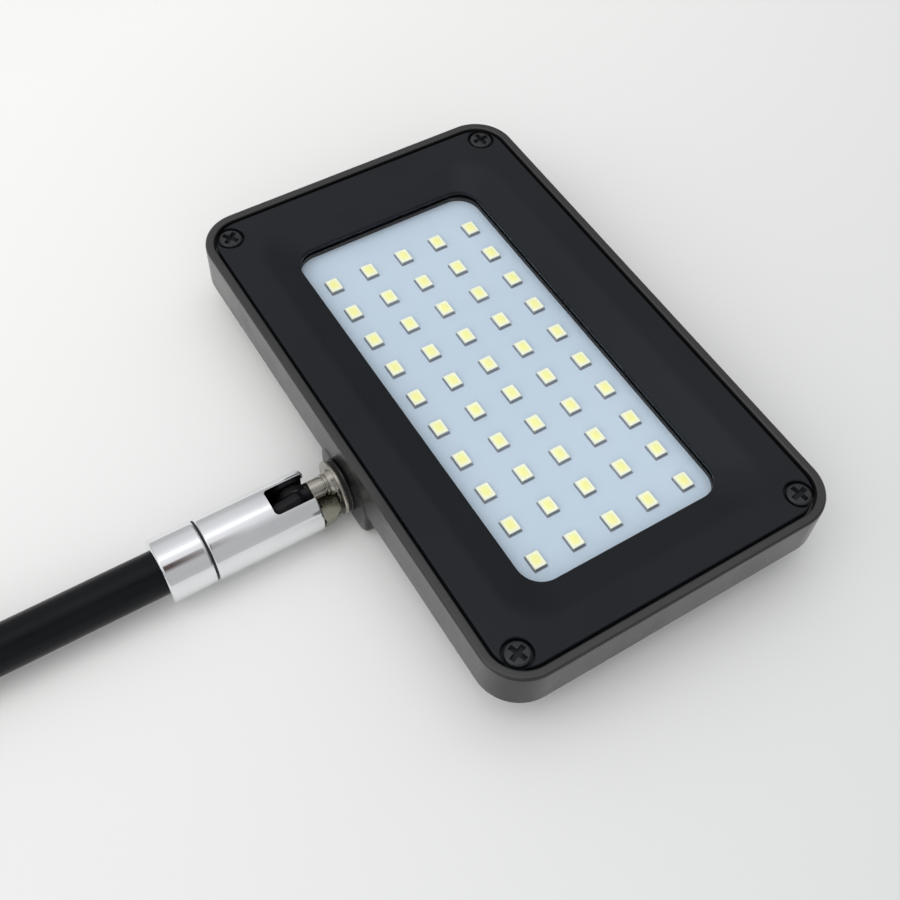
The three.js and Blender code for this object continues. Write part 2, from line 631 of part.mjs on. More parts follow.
// pieces on the clamp screw's axis, placed from the face of the foot pad
const turnClamp = (profile, sides) => turnX(along(FOOT_X, profile), sides, CLAMP_AXIS);
piece('clamp_screw', STEEL, turnClamp([
  [-36.5, 0], [-36.5, 2.6], [-36, 3], [-6.2, 3], [-5.8, 2.6], [-5.2, 1.6],
  [-4.1, 1.6], [-3.6, 2.1], [-3, 2.1], [-2.6, 1.7], [-2.6, 0],
], 32));

// Fluted knob with bevelled ends.
function clampKnob() {
  const fluted = prismX(polygon([5.75, 6.3], 48, CLAMP_AXIS), [FOOT_X - 46, FOOT_X - 34.5]);
  const envelope = turnClamp([
    [-47, 0], [-46, 5], [-44.8, 6.4], [-35.6, 6.4], [-34.4, 5.2], [-34.4, 0],
  ], 28);
  const screwBore = rodX(3.03, [FOOT_X - 36.55, FOOT_X - 30], 32, CLAMP_AXIS);
  return fluted.intersect(envelope).subtract(screwBore);
}
piece('clamp_knob', PLASTIC, clampKnob());
piece('clamp_foot', { ...STEEL, roughness: 0.4 }, turnClamp([
  [-5, 1.75], [-5, 3.6], [-4.4, 4.4], [-2.9, 5.9], [-1.5, 6],
  [-1.5, 0], [-2.45, 0], [-2.45, 2.35], [-3.8, 2.35], [-4.3, 1.75],
], 28));
piece('foot_pad', RUBBER, turnClamp([
  [-1.45, 0], [-1.45, 5.6], [-0.4, 5.6], [0, 5.2], [0, 0],
], 28));

// ---------------------------------------------------------------- lead
piece('strain_relief', { ...RUBBER, roughness: 0.75 }, turnY(along(AXIS_Y, [
  [-3.9, 2.05], [-3.9, 2.8], [-6.6, 2.8], [-6.6, 4], [-8, 4.1],
  [-9, 3.6], [-19, 2.8], [-19.4, 2.05],
]), 24, [LEAD_X, AXIS_Z]));

// [x from the tube's clamp end, y from the arm axis, z]
const LEAD_PATH = [
  [-4, -4.2, AXIS_Z], [-4, -12, AXIS_Z], [-4, -20.5, AXIS_Z], [-2.6, -29, AXIS_Z - 1],
  [4, -40, 3], [18, -49, 2.2], [36, -53, 2.6], [48, LEAD_END_Y, 4.6],
  [55, LEAD_END_Y, LEAD_END_Z], [61, LEAD_END_Y, LEAD_END_Z],
];
piece('power_lead', CABLE,
  sweep(LEAD_PATH.map(([x, y, z]) => [TUBE_X0 + x, AXIS_Y + y, z]), 1.95, 8, 22));
piece('lead_socket', PLASTIC, turnX(along(TUBE_X0, [
  [61.2, 0], [61.2, 2.6], [66, 3.2], [67, 4.6], [69, 5.1], [92, 5.1], [92.6, 4.7],
  [92.6, 2.9], [82, 2.9], [82, 1], [91, 1], [91.6, 0.6], [91.6, 0],
]), 24, [AXIS_Y + LEAD_END_Y, LEAD_END_Z]));

export default light;
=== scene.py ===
# LED exhibition arm light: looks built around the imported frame.
import bpy
import bmesh
import math
import random
from mathutils import Matrix, Vector


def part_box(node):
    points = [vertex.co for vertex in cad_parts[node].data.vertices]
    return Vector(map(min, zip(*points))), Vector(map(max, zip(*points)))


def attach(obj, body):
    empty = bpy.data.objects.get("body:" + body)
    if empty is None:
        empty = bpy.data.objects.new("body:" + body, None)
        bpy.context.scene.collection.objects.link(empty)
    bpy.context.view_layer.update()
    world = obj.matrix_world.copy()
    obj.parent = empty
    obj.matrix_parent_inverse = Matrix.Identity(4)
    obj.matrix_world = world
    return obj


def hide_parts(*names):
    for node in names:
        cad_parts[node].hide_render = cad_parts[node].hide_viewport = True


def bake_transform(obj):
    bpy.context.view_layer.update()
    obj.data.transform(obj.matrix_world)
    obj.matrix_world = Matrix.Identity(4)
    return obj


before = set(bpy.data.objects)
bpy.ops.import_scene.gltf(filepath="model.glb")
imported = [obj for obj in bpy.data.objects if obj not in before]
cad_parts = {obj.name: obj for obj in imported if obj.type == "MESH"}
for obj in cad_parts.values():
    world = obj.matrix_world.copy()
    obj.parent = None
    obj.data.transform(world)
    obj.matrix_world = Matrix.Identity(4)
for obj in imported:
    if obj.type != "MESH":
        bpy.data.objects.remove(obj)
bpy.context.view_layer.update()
random.seed(7)

MM = 0.001
# ------------------------------------------------------------------ dimensions, mm, as in the CAD
HW, HL, HR = 79.6 / 2, 129.9 / 2, 9.3
RIM_TOP, SIDE_BOTTOM = 19.0, 8.0
BEZ_TOP = 18.7
AY, AZ = -4.5, 6.8
SR = 6.8
XT = -303.9
FX0 = XT - 15.0
FX = FX0 - 12.0
PIV = -50.3
WINR = 5.2
SX, SY = 33.3, 58.5
NZ = AZ + 3.0


# ------------------------------------------------------------------ mesh tools
def make(name, verts, faces, mat, body=None, smooth=32.0, replaces=(), slot=None, mats=None, face_mats=None):
    me = bpy.data.meshes.new(name)
    me.from_pydata([(v[0] * MM, v[1] * MM, v[2] * MM) for v in verts], [], faces)
    me.update()
    ob = bpy.data.objects.new(name, me)
    bpy.context.scene.collection.objects.link(ob)
    for m in (mats or [mat]):
        me.materials.append(m)
    if face_mats:
        for p, k in zip(me.polygons, face_mats):
            p.material_index = k
    recalc(ob)
    shade(ob, smooth)
    if body:
        finish_piece(ob, body, replaces)
    return ob


def finish_piece(ob, body, replaces=()):
    weighted(ob)
    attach(ob, body)
    if replaces:
        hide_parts(*replaces)


def recalc(ob):
    bm = bmesh.new()
    bm.from_mesh(ob.data)
    bmesh.ops.remove_doubles(bm, verts=bm.verts, dist=1e-7)
    bmesh.ops.recalc_face_normals(bm, faces=bm.faces)
    bm.to_mesh(ob.data)
    bm.free()


def shade(ob, angle=32.0):
    me = ob.data
    me.shade_smooth()
    me.set_sharp_from_angle(angle=math.radians(angle))


def weighted(ob):
    m = ob.modifiers.new("wn", "WEIGHTED_NORMAL")
    m.mode = "FACE_AREA"
    m.weight = 50
    m.keep_sharp = True


def fillet(points, seg=5):
    """points: [(a, b, radius)], an open polyline; returns it with rounded corners."""
    out = []
    n = len(points)
    for i, (a, b, r) in enumerate(points):
        if r <= 0 or i in (0, n - 1):
            out.append((a, b))
            continue
        p = Vector((a, b)); p0 = Vector(points[i - 1][:2]); p1 = Vector(points[i + 1][:2])
        d0 = (p0 - p); d1 = (p1 - p)
        l0, l1 = d0.length, d1.length
        if l0 < 1e-9 or l1 < 1e-9:
            out.append((a, b)); continue
        d0 /= l0; d1 /= l1
        ang = math.acos(max(-1, min(1, d0.dot(d1))))
        if ang > math.radians(178) or ang < math.radians(2):
            out.append((a, b)); continue
        t = r / math.tan(ang / 2)
        t = min(t, l0 * 0.49 if i > 1 else l0 * 0.98, l1 * 0.49 if i < n - 2 else l1 * 0.98)
        rr = t * math.tan(ang / 2)
        c = p + (d0 + d1).normalized() * (rr / math.sin(ang / 2))
        s = p + d0 * t; e = p + d1 * t
        a0 = math.atan2(s.y - c.y, s.x - c.x); a1 = math.atan2(e.y - c.y, e.x - c.x)
        da = (a1 - a0 + math.pi) % (2 * math.pi) - math.pi
        for k in range(seg + 1):
            q = a0 + da * k / seg
            out.append((c.x + rr * math.cos(q), c.y + rr * math.sin(q)))
    # short supporting spans beside every rounded corner keep the flats flat when shaded
    res = [out[0]]
    for a, b in zip(out, out[1:]):
        d = math.hypot(b[0] - a[0], b[1] - a[1])
        if d > 0.9:
            h = 0.12 / d
            res.append((a[0] + (b[0] - a[0]) * h, a[1] + (b[1] - a[1]) * h))
            res.append((b[0] - (b[0] - a[0]) * h, b[1] - (b[1] - a[1]) * h))
        res.append(b)
    return res


def rr_loop(hw, hl, r, z, n=12, cx=0.0, cy=0.0):
    r = max(min(r, hw - 0.01, hl - 0.01), 0.02)
    pts = []
    for (x, y, a0) in ((hw - r, hl - r, 0), (-hw + r, hl - r, 90), (-hw + r, -hl + r, 180), (hw - r, -hl + r, 270)):
        for i in range(n + 1):
            a = math.radians(a0 + 90.0 * i / n)
            pts.append((cx + x + r * math.cos(a), cy + y + r * math.sin(a), z))
    return pts


def loft(loops, cap0=True, cap1=True, closed=False):
    n = len(loops[0])
    verts = [p for lp in loops for p in lp]
    faces = []
    m = len(loops)
    rng = m if closed else m - 1
    for k in range(rng):
        a, b = k * n, ((k + 1) % m) * n
        for i in range(n):
            j = (i + 1) % n
            faces.append((a + i, a + j, b + j, b + i))
    if not closed:
        if cap0:
            faces.append(tuple(range(n)))
        if cap1:
            faces.append(tuple(range((m - 1) * n, m * n)))
    return verts, faces


def rev(profile, axis="X", c=(0.0, 0.0), n=96, closed=True):
    """profile [(along, radius)] revolved; closed joins last to first. Radius 0 points become poles."""
    verts, faces, rings = [], [], []
    for (a, r) in profile:
        if r < 1e-6:
            rings.append([len(verts)])
            verts.append((a, 0.0, 0.0))
        else:
            ring = []
            for i in range(n):
                q = 2 * math.pi * i / n
                ring.append(len(verts))
                verts.append((a, r * math.cos(q), r * math.sin(q)))
            rings.append(ring)
    m = len(rings)
    for k in range(m if closed else m - 1):
        A, B = rings[k], rings[(k + 1) % m]
        if len(A) == 1 and len(B) == 1:
            continue
        for i in range(n):
            j = (i + 1) % n
            if len(A) == 1:
                faces.append((A[0], B[j], B[i]))
            elif len(B) == 1:
                faces.append((A[i], A[j], B[0]))
            else:
                faces.append((A[i], A[j], B[j], B[i]))
    out = []
    for (a, y, z) in verts:
        if axis == "X":
            out.append((a, c[0] + y, c[1] + z))
        elif axis == "Y":
            out.append((c[0] + y, a, c[1] + z))
        else:
            out.append((c[0] + y, c[1] + z, a))
    return out, faces


def join_geo(*parts):
    verts, faces = [], []
    for v, f in parts:
        o = len(verts)
        verts += list(v)
        faces += [tuple(i + o for i in face) for face in f]
    return verts, faces


def geo_box(x0, x1, y0, y1, z0, z1):
    v = [(x, y, z) for x in (x0, x1) for y in (y0, y1) for z in (z0, z1)]
    f = [(0, 1, 3, 2), (4, 6, 7, 5), (0, 4, 5, 1), (2, 3, 7, 6), (0, 2, 6, 4), (1, 5, 7, 3)]
    return v, f


def rounded_box(x0, x1, y0, y1, z0, z1, r, seg=3, axis="Z", rc=None):
    """box with filleted vertical corners rc and rounded top and bottom edges r."""
    cx, cy = (x0 + x1) / 2, (y0 + y1) / 2
    hw, hl = (x1 - x0) / 2, (y1 - y0) / 2
    rc = rc if rc is not None else r
    prof = fillet([(hw, z0, 0), (0, z0, r), (0, z1, r), (hw, z1, 0)], seg)
    loops = []
    for (ins, z) in prof:
        if ins >= hw - 1e-6:
            continue
        loops.append(rr_loop(hw - ins, hl - ins, max(rc - ins, 0.02), z, 5, cx, cy))
    return loft(loops)


def boolean(ob, cutter, op="DIFFERENCE"):
    m = ob.modifiers.new("b", "BOOLEAN")
    m.operation = op
    m.solver = "EXACT"
    m.object = cutter
    bpy.context.view_layer.update()
    deps = bpy.context.evaluated_depsgraph_get()
    me = bpy.data.meshes.new_from_object(ob.evaluated_get(deps))
    ob.modifiers.clear()
    old = ob.data
    ob.data = me
    bpy.data.meshes.remove(old)
    cm = cutter.data
    bpy.data.objects.remove(cutter)
    bpy.data.meshes.remove(cm)


def tool(verts, faces, name="cutter"):
    me = bpy.data.meshes.new(name)
    me.from_pydata([(v[0] * MM, v[1] * MM, v[2] * MM) for v in verts], [], faces)
    me.update()
    ob = bpy.data.objects.new(name, me)
    bpy.context.scene.collection.objects.link(ob)
    recalc(ob)
    return ob


def bevel(ob, width, seg=2, angle=35.0, shade_angle=40.0):
    m = ob.modifiers.new("bv", "BEVEL")
    m.width = width * MM
    m.segments = seg
    m.limit_method = "ANGLE"
    m.angle_limit = math.radians(angle)
    m.use_clamp_overlap = True
    bpy.context.view_layer.update()
    deps = bpy.context.evaluated_depsgraph_get()
    me = bpy.data.meshes.new_from_object(ob.evaluated_get(deps))
    ob.modifiers.clear()
    ob.data = me
    shade(ob, shade_angle)


def tube_path(points, r, n=20, steps=80, caps=True, radius_fn=None):
    """round tube along a Catmull-Rom path through points (mm)."""
    P = [Vector(p) for p in points]
    Q = [P[0] * 2 - P[1]] + P + [P[-1] * 2 - P[-2]]
    samples = []
    segs = len(P) - 1
    per = max(2, steps // segs)
    for s in range(segs):
        p0, p1, p2, p3 = Q[s], Q[s + 1], Q[s + 2], Q[s + 3]
        for k in range(per + (1 if s == segs - 1 else 0)):
            t = k / per
            samples.append(0.5 * ((2 * p1) + (-p0 + p2) * t + (2 * p0 - 5 * p1 + 4 * p2 - p3) * t * t
                                  + (-p0 + 3 * p1 - 3 * p2 + p3) * t * t * t))
    m = len(samples)
    tang = [(samples[min(i + 1, m - 1)] - samples[max(i - 1, 0)]).normalized() for i in range(m)]
    up = Vector((0, 0, 1)) if abs(tang[0].z) < 0.9 else Vector((1, 0, 0))
    nrm = (up - tang[0] * up.dot(tang[0])).normalized()
    loops = []
    for i in range(m):
        nrm = (nrm - tang[i] * nrm.dot(tang[i])).normalized()
        bn = tang[i].cross(nrm)
        rr = radius_fn(i / (m - 1)) * r if radius_fn else r
        loops.append([tuple(samples[i] + nrm * (rr * math.cos(2 * math.pi * k / n)) + bn * (rr * math.sin(2 * math.pi * k / n)))
                      for k in range(n)])
    return loft(loops, caps, caps)


# ------------------------------------------------------------------ materials
def nodes_of(mat):
    mat.use_nodes = True
    nt = mat.node_tree
    nt.nodes.clear()
    out = nt.nodes.new("ShaderNodeOutputMaterial")
    return nt, out


def N(nt, kind, **kw):
    n = nt.nodes.new(kind)
    for k, v in kw.items():
        if k in n.inputs:
            n.inputs[k].default_value = v
        else:
            setattr(n, k, v)
    return n


def coords(nt, scale=(1, 1, 1)):
    tc = N(nt, "ShaderNodeTexCoord")
    mp = N(nt, "ShaderNodeMapping")
    mp.inputs["Scale"].default_value = scale
    nt.links.new(tc.outputs["Object"], mp.inputs["Vector"])
    return mp.outputs["Vector"]


def noise(nt, vec, scale, detail=3.0, rough=0.5):
    n = N(nt, "ShaderNodeTexNoise")
    n.inputs["Scale"].default_value = scale
    n.inputs["Detail"].default_value = detail
    n.inputs["Roughness"].default_value = rough
    nt.links.new(vec, n.inputs["Vector"])
    return n.outputs["Fac"]


def ramp(nt, fac, stops):
    r = N(nt, "ShaderNodeValToRGB")
    el = r.color_ramp.elements
    while len(el) > 1:
        el.remove(el[0])
    el[0].position, el[0].color = stops[0][0], (*stops[0][1], 1)
    for p, c in stops[1:]:
        e = el.new(p)
        e.color = (*c, 1)
    nt.links.new(fac, r.inputs["Fac"])
    return r.outputs["Color"]


def mapr(nt, fac, a, b, lo=0.0, hi=1.0):
    m = N(nt, "ShaderNodeMapRange")
    m.inputs["From Min"].default_value = lo
    m.inputs["From Max"].default_value = hi
    m.inputs["To Min"].default_value = a
    m.inputs["To Max"].default_value = b
    nt.links.new(fac, m.inputs["Value"])
    return m.outputs["Result"]


def bump(nt, height, strength, dist, prev=None):
    b = N(nt, "ShaderNodeBump")
    b.inputs["Strength"].default_value = strength
    b.inputs["Distance"].default_value = dist * MM
    nt.links.new(height, b.inputs["Height"])
    if prev:
        nt.links.new(prev, b.inputs["Normal"])
    return b.outputs["Normal"]


def edge_mask(nt, radius, lo=0.02, hi=0.35):
    """1 on convex edges: compares the bevelled normal with the true one."""
    bv = N(nt, "ShaderNodeBevel")
    bv.samples = 4
    bv.inputs["Radius"].default_value = radius * MM
    g = N(nt, "ShaderNodeNewGeometry")
    d = N(nt, "ShaderNodeVectorMath", operation="DOT_PRODUCT")
    nt.links.new(bv.outputs["Normal"], d.inputs[0])
    nt.links.new(g.outputs["Normal"], d.inputs[1])
    s = N(nt, "ShaderNodeMath", operation="SUBTRACT")
    s.inputs[0].default_value = 1.0
    nt.links.new(d.outputs["Value"], s.inputs[1])
    return mapr(nt, s.outputs[0], 0.0, 1.0, lo, hi)


def mixcol(nt, fac, a, b):
    m = N(nt, "ShaderNodeMix", data_type="RGBA")
    def put(sock, v):
        if isinstance(v, tuple):
            sock.default_value = (*v, 1) if len(v) == 3 else v
        else:
            nt.links.new(v, sock)
    if isinstance(fac, float):
        m.inputs[0].default_value = fac
    else:
        nt.links.new(fac, m.inputs[0])
    put(m.inputs[6], a)
    put(m.inputs[7], b)
    return m.outputs[2]


def surface(name, c0, c1, rough, rough_var=0.05, metal=0.0, var_scale=60, grain_scale=2500, grain=0.08, grain_mm=0.02,
            coat=0.0, coat_rough=0.1, spec=0.5, stretch=(1, 1, 1), edge_wear_and_highlight=None, edge_r=0.35, sheen=0.0):
    mat = bpy.data.materials.new(name)
    nt, out = nodes_of(mat)
    bs = N(nt, "ShaderNodeBsdfPrincipled")
    vec = coords(nt, stretch)
    big = noise(nt, vec, var_scale, 4.0)
    col = ramp(nt, big, [(0.3, c0), (0.7, c1)])
    # lighter colour on the convex edges: part scuffing, part painted highlight
    if edge_wear_and_highlight:
        col = mixcol(nt, edge_mask(nt, edge_r), col, edge_wear_and_highlight)
    nt.links.new(col, bs.inputs["Base Color"])
    fine = noise(nt, vec, grain_scale, 2.0)
    nt.links.new(mapr(nt, noise(nt, vec, var_scale * 3, 3.0), rough - rough_var, rough + rough_var, 0.3, 0.7), bs.inputs["Roughness"])
    bs.inputs["Metallic"].default_value = metal
    bs.inputs["Specular IOR Level"].default_value = spec
    bs.inputs["Coat Weight"].default_value = coat
    bs.inputs["Coat Roughness"].default_value = coat_rough
    if sheen:
        bs.inputs["Sheen Weight"].default_value = sheen
    if grain > 0:
        nt.links.new(bump(nt, fine, grain, grain_mm), bs.inputs["Normal"])
    nt.links.new(bs.outputs[0], out.inputs["Surface"])
    return mat


def brushed(name, c0, c1, rough, axis_scale, metal=1.0, strength=0.15, fine=900, edge_wear_and_highlight=None):
    """metal with fine turning or brushing lines; axis_scale stretches the noise."""
    mat = bpy.data.materials.new(name)
    nt, out = nodes_of(mat)
    bs = N(nt, "ShaderNodeBsdfPrincipled")
    vec = coords(nt, axis_scale)
    ln = noise(nt, vec, fine, 3.0, 0.6)
    v2 = coords(nt)
    big = noise(nt, v2, 80, 3.0)
    col = ramp(nt, big, [(0.3, c0), (0.7, c1)])
    # lighter colour on the convex edges: part scuffing, part painted highlight
    if edge_wear_and_highlight:
        col = mixcol(nt, edge_mask(nt, 0.25), col, edge_wear_and_highlight)
    nt.links.new(col, bs.inputs["Base Color"])
    nt.links.new(mapr(nt, ln, rough * 0.8, rough * 1.25, 0.3, 0.7), bs.inputs["Roughness"])
    bs.inputs["Metallic"].default_value = metal
    nt.links.new(bump(nt, ln, strength, 0.01), bs.inputs["Normal"])
    nt.links.new(bs.outputs[0], out.inputs["Surface"])
    return mat


M = {}
def powder():
    """satin black coat with painted shade: a dark line on the sharp edges, and a duller reflection on the corner faces
    turned towards -X-Y.
    """
    mat = bpy.data.materials.new("housing_paint")
    nt, out = nodes_of(mat)
    bs = N(nt, "ShaderNodeBsdfPrincipled")
    vec = coords(nt)
    e = edge_mask(nt, 0.42, 0.03, 0.30)
    col = ramp(nt, noise(nt, vec, 45, 4.0), [(0.3, (0.0075, 0.0076, 0.0082)), (0.7, (0.0115, 0.0116, 0.0122))])
    # painted shade: the convex edges darken to a near-black line
    col = mixcol(nt, e, col, (0.0022, 0.0022, 0.0025))
    nt.links.new(col, bs.inputs["Base Color"])
    g = N(nt, "ShaderNodeNewGeometry")
    vt = N(nt, "ShaderNodeVectorTransform", vector_type="NORMAL", convert_from="WORLD", convert_to="OBJECT")
    nt.links.new(g.outputs["Normal"], vt.inputs[0])
    d = N(nt, "ShaderNodeVectorMath", operation="DOT_PRODUCT")
    nt.links.new(vt.outputs[0], d.inputs[0])
    d.inputs[1].default_value = (-0.60, -0.80, 0.0)
    # painted shade: the specular falls to 0.42 on faces turned towards -X-Y, and almost to nothing on the convex edges
    corner = mapr(nt, d.outputs["Value"], 1.0, 0.42, 0.70, 0.98)
    edge_line_shade = mapr(nt, e, 0.78, 0.04)
    sm = N(nt, "ShaderNodeMath", operation="MULTIPLY")
    nt.links.new(edge_line_shade, sm.inputs[0])
    nt.links.new(corner, sm.inputs[1])
    nt.links.new(sm.outputs[0], bs.inputs["Specular IOR Level"])
    nt.links.new(mapr(nt, noise(nt, vec, 135, 3.0), 0.22, 0.30, 0.3, 0.7), bs.inputs["Roughness"])
    fine = noise(nt, vec, 1500, 2.0)
    nt.links.new(bump(nt, fine, 0.16, 0.03), bs.inputs["Normal"])
    nt.links.new(bs.outputs[0], out.inputs["Surface"])
    return mat


M["paint"] = powder()
M["bezel"] = surface("bezel_plastic", (0.0044, 0.0062, 0.0090), (0.0068, 0.0088, 0.0118), 0.40, 0.05, var_scale=30,
                     grain_scale=3800, grain=0.20, grain_mm=0.03, spec=0.26, edge_wear_and_highlight=(0.013, 0.014, 0.017), edge_r=0.3)
M["tube"] = surface("tube_black", (0.0034, 0.0038, 0.0052), (0.0054, 0.0060, 0.0076), 0.29, 0.05, var_scale=60,
                    grain_scale=2200, grain=0.12, grain_mm=0.03, spec=0.14)
M["clamp"] = surface("clamp_paint", (0.0120, 0.0122, 0.0135), (0.0175, 0.0178, 0.0195), 0.36, 0.06, var_scale=50,
                     grain_scale=1800, grain=0.2, grain_mm=0.04, edge_wear_and_highlight=(0.06, 0.06, 0.064), edge_r=0.35)
M["knob"] = surface("knob_plastic", (0.0130, 0.0130, 0.0145), (0.0190, 0.0190, 0.0205), 0.42, 0.06, var_scale=60,
                    grain_scale=2600, grain=0.2, grain_mm=0.03, edge_wear_and_highlight=(0.035, 0.035, 0.038), edge_r=0.25)
M["rubber"] = surface("rubber_black", (0.0100, 0.0100, 0.0105), (0.0165, 0.0165, 0.0170), 0.72, 0.08, var_scale=90,
                      grain_scale=3000, grain=0.3, grain_mm=0.03, sheen=0.2)
M["cable"] = surface("cable_black", (0.0040, 0.0042, 0.0052), (0.0065, 0.0067, 0.0080), 0.38, 0.06, var_scale=120,
                     grain_scale=2000, grain=0.12, grain_mm=0.02)
M["screw"] = surface("screw_black", (0.0180, 0.0190, 0.0210), (0.0270, 0.0280, 0.0305), 0.34, 0.06, metal=0.3, var_scale=300,
                     grain_scale=2500, grain=0.12, grain_mm=0.02, edge_wear_and_highlight=(0.06, 0.06, 0.064), edge_r=0.14)
M["chrome"] = brushed("chrome", (0.80, 0.81, 0.83), (0.86, 0.865, 0.88), 0.075, (6, 1, 1), strength=0.035, fine=320)
M["nickel"] = brushed("nickel", (0.40, 0.385, 0.335), (0.50, 0.482, 0.425), 0.24, (1, 5, 5), strength=0.12, fine=600, edge_wear_and_highlight=(0.66, 0.645, 0.59))
M["washer"] = brushed("stem_washer_dark", (0.060, 0.060, 0.058), (0.10, 0.10, 0.096), 0.26, (1, 5, 5), strength=0.12, fine=600, edge_wear_and_highlight=(0.20, 0.20, 0.19))
# darker, more olive copy of the nickel for the core nose: painted shade
M["nose"] = brushed("core_nickel_shaded_copy", (0.215, 0.212, 0.170), (0.300, 0.296, 0.245), 0.26, (1, 5, 5), strength=0.12, fine=600, edge_wear_and_highlight=(0.42, 0.41, 0.36))
# darker, duller copy of the cable jacket for the run through the slot: painted shade
M["slot_cable"] = surface("slot_cable_shaded_copy", (0.0030, 0.0031, 0.0040), (0.0048, 0.0050, 0.0062), 0.27, 0.04, var_scale=120, grain_scale=2000, grain=0.1, grain_mm=0.02, spec=0.22)
M["steel"] = brushed("steel_plain", (0.42, 0.43, 0.44), (0.56, 0.57, 0.58), 0.26, (1, 6, 6), strength=0.14, fine=700, edge_wear_and_highlight=(0.7, 0.7, 0.7))
M["brass"] = brushed("brass", (0.62, 0.45, 0.19), (0.72, 0.55, 0.26), 0.28, (6, 1, 1), strength=0.1, fine=500)
M["alu"] = brushed("spreader_alu", (0.62, 0.63, 0.65), (0.72, 0.73, 0.75), 0.32, (1, 12, 1), strength=0.14, fine=500)
M["pcb"] = surface("driver_green", (0.010, 0.060, 0.030), (0.020, 0.100, 0.055), 0.35, 0.05, var_scale=200, grain_scale=1500, grain=0.1)
M["wire_red"] = surface("wire_red", (0.30, 0.012, 0.010), (0.40, 0.020, 0.016), 0.4, 0.05, var_scale=200)
M["wire_black"] = surface("wire_black", (0.010, 0.010, 0.011), (0.018, 0.018, 0.019), 0.4, 0.05, var_scale=200)
M["pad"] = surface("pad_grey", (0.20, 0.23, 0.26), (0.28, 0.31, 0.34), 0.8, 0.05, var_scale=300, grain_scale=1500, grain=0.3)
M["board"] = surface("board_white", (0.545, 0.640, 0.745), (0.580, 0.672, 0.775), 0.40, 0.04, var_scale=25,
                     grain_scale=1800, grain=0.05, grain_mm=0.01, spec=0.35)
M["led_body"] = surface("led_body", (0.74, 0.76, 0.70), (0.82, 0.83, 0.78), 0.35, 0.04, var_scale=400, grain_scale=3000, grain=0.03)
# grey copy of the white package body for its sides: painted shade
M["led_side_painted_shade"] = surface("led_side_painted_shade", (0.36, 0.375, 0.39), (0.44, 0.455, 0.47), 0.4, 0.04, var_scale=400, grain_scale=3000, grain=0.05)
M["solder"] = brushed("solder", (0.20, 0.22, 0.25), (0.30, 0.32, 0.36), 0.38, (1, 1, 1), metal=0.5, strength=0.2, fine=1500)


def phosphor():
    """cream package whose gel turns yellow towards the die; the dies sit on the 9 mm grid of the board."""
    mat = bpy.data.materials.new("phosphor")
    nt, out = nodes_of(mat)
    bs = N(nt, "ShaderNodeBsdfPrincipled")
    vec = coords(nt)
    sp = N(nt, "ShaderNodeSeparateXYZ")
    nt.links.new(vec, sp.inputs[0])

    def local(sock, shift, size):
        a = N(nt, "ShaderNodeMath", operation="MULTIPLY_ADD")
        nt.links.new(sock, a.inputs[0])
        a.inputs[1].default_value = 1.0 / (9.0 * MM)
        a.inputs[2].default_value = shift
        f = N(nt, "ShaderNodeMath", operation="FRACT")
        nt.links.new(a.outputs[0], f.inputs[0])
        c = N(nt, "ShaderNodeMath", operation="SUBTRACT")
        nt.links.new(f.outputs[0], c.inputs[0])
        c.inputs[1].default_value = 0.5
        m = N(nt, "ShaderNodeMath", operation="MULTIPLY")
        nt.links.new(c.outputs[0], m.inputs[0])
        m.inputs[1].default_value = 9.0 / size
        q = N(nt, "ShaderNodeMath", operation="POWER")
        ab = N(nt, "ShaderNodeMath", operation="ABSOLUTE")
        nt.links.new(m.outputs[0], ab.inputs[0])
        nt.links.new(ab.outputs[0], q.inputs[0])
        q.inputs[1].default_value = 3.0
        return q.outputs[0]
    u = local(sp.outputs["X"], 10.5, 1.18)
    v = local(sp.outputs["Y"], 10.0 + 2.0 / 9.0, 1.52)
    d = N(nt, "ShaderNodeMath", operation="ADD")
    nt.links.new(u, d.inputs[0])
    nt.links.new(v, d.inputs[1])
    g = noise(nt, vec, 3500, 3.0)
    w = N(nt, "ShaderNodeMath", operation="MULTIPLY_ADD")
    nt.links.new(g, w.inputs[0])
    w.inputs[1].default_value = 0.25
    nt.links.new(d.outputs[0], w.inputs[2])
    col = ramp(nt, w.outputs[0], [(0.18, (0.93, 0.89, 0.34)), (0.45, (0.93, 0.90, 0.44)), (0.95, (0.90, 0.90, 0.68))])
    nt.links.new(col, bs.inputs["Base Color"])
    bs.inputs["Roughness"].default_value = 0.30
    bs.inputs["Coat Weight"].default_value = 0.3
    # painted glow: a faint emission of the phosphor colour, though the LEDs are off
    nt.links.new(col, bs.inputs["Emission Color"])
    bs.inputs["Emission Strength"].default_value = 0.10
    nt.links.new(bump(nt, g, 0.1, 0.01), bs.inputs["Normal"])
    nt.links.new(bs.outputs[0], out.inputs["Surface"])
    return mat


M["phosphor"] = phosphor()


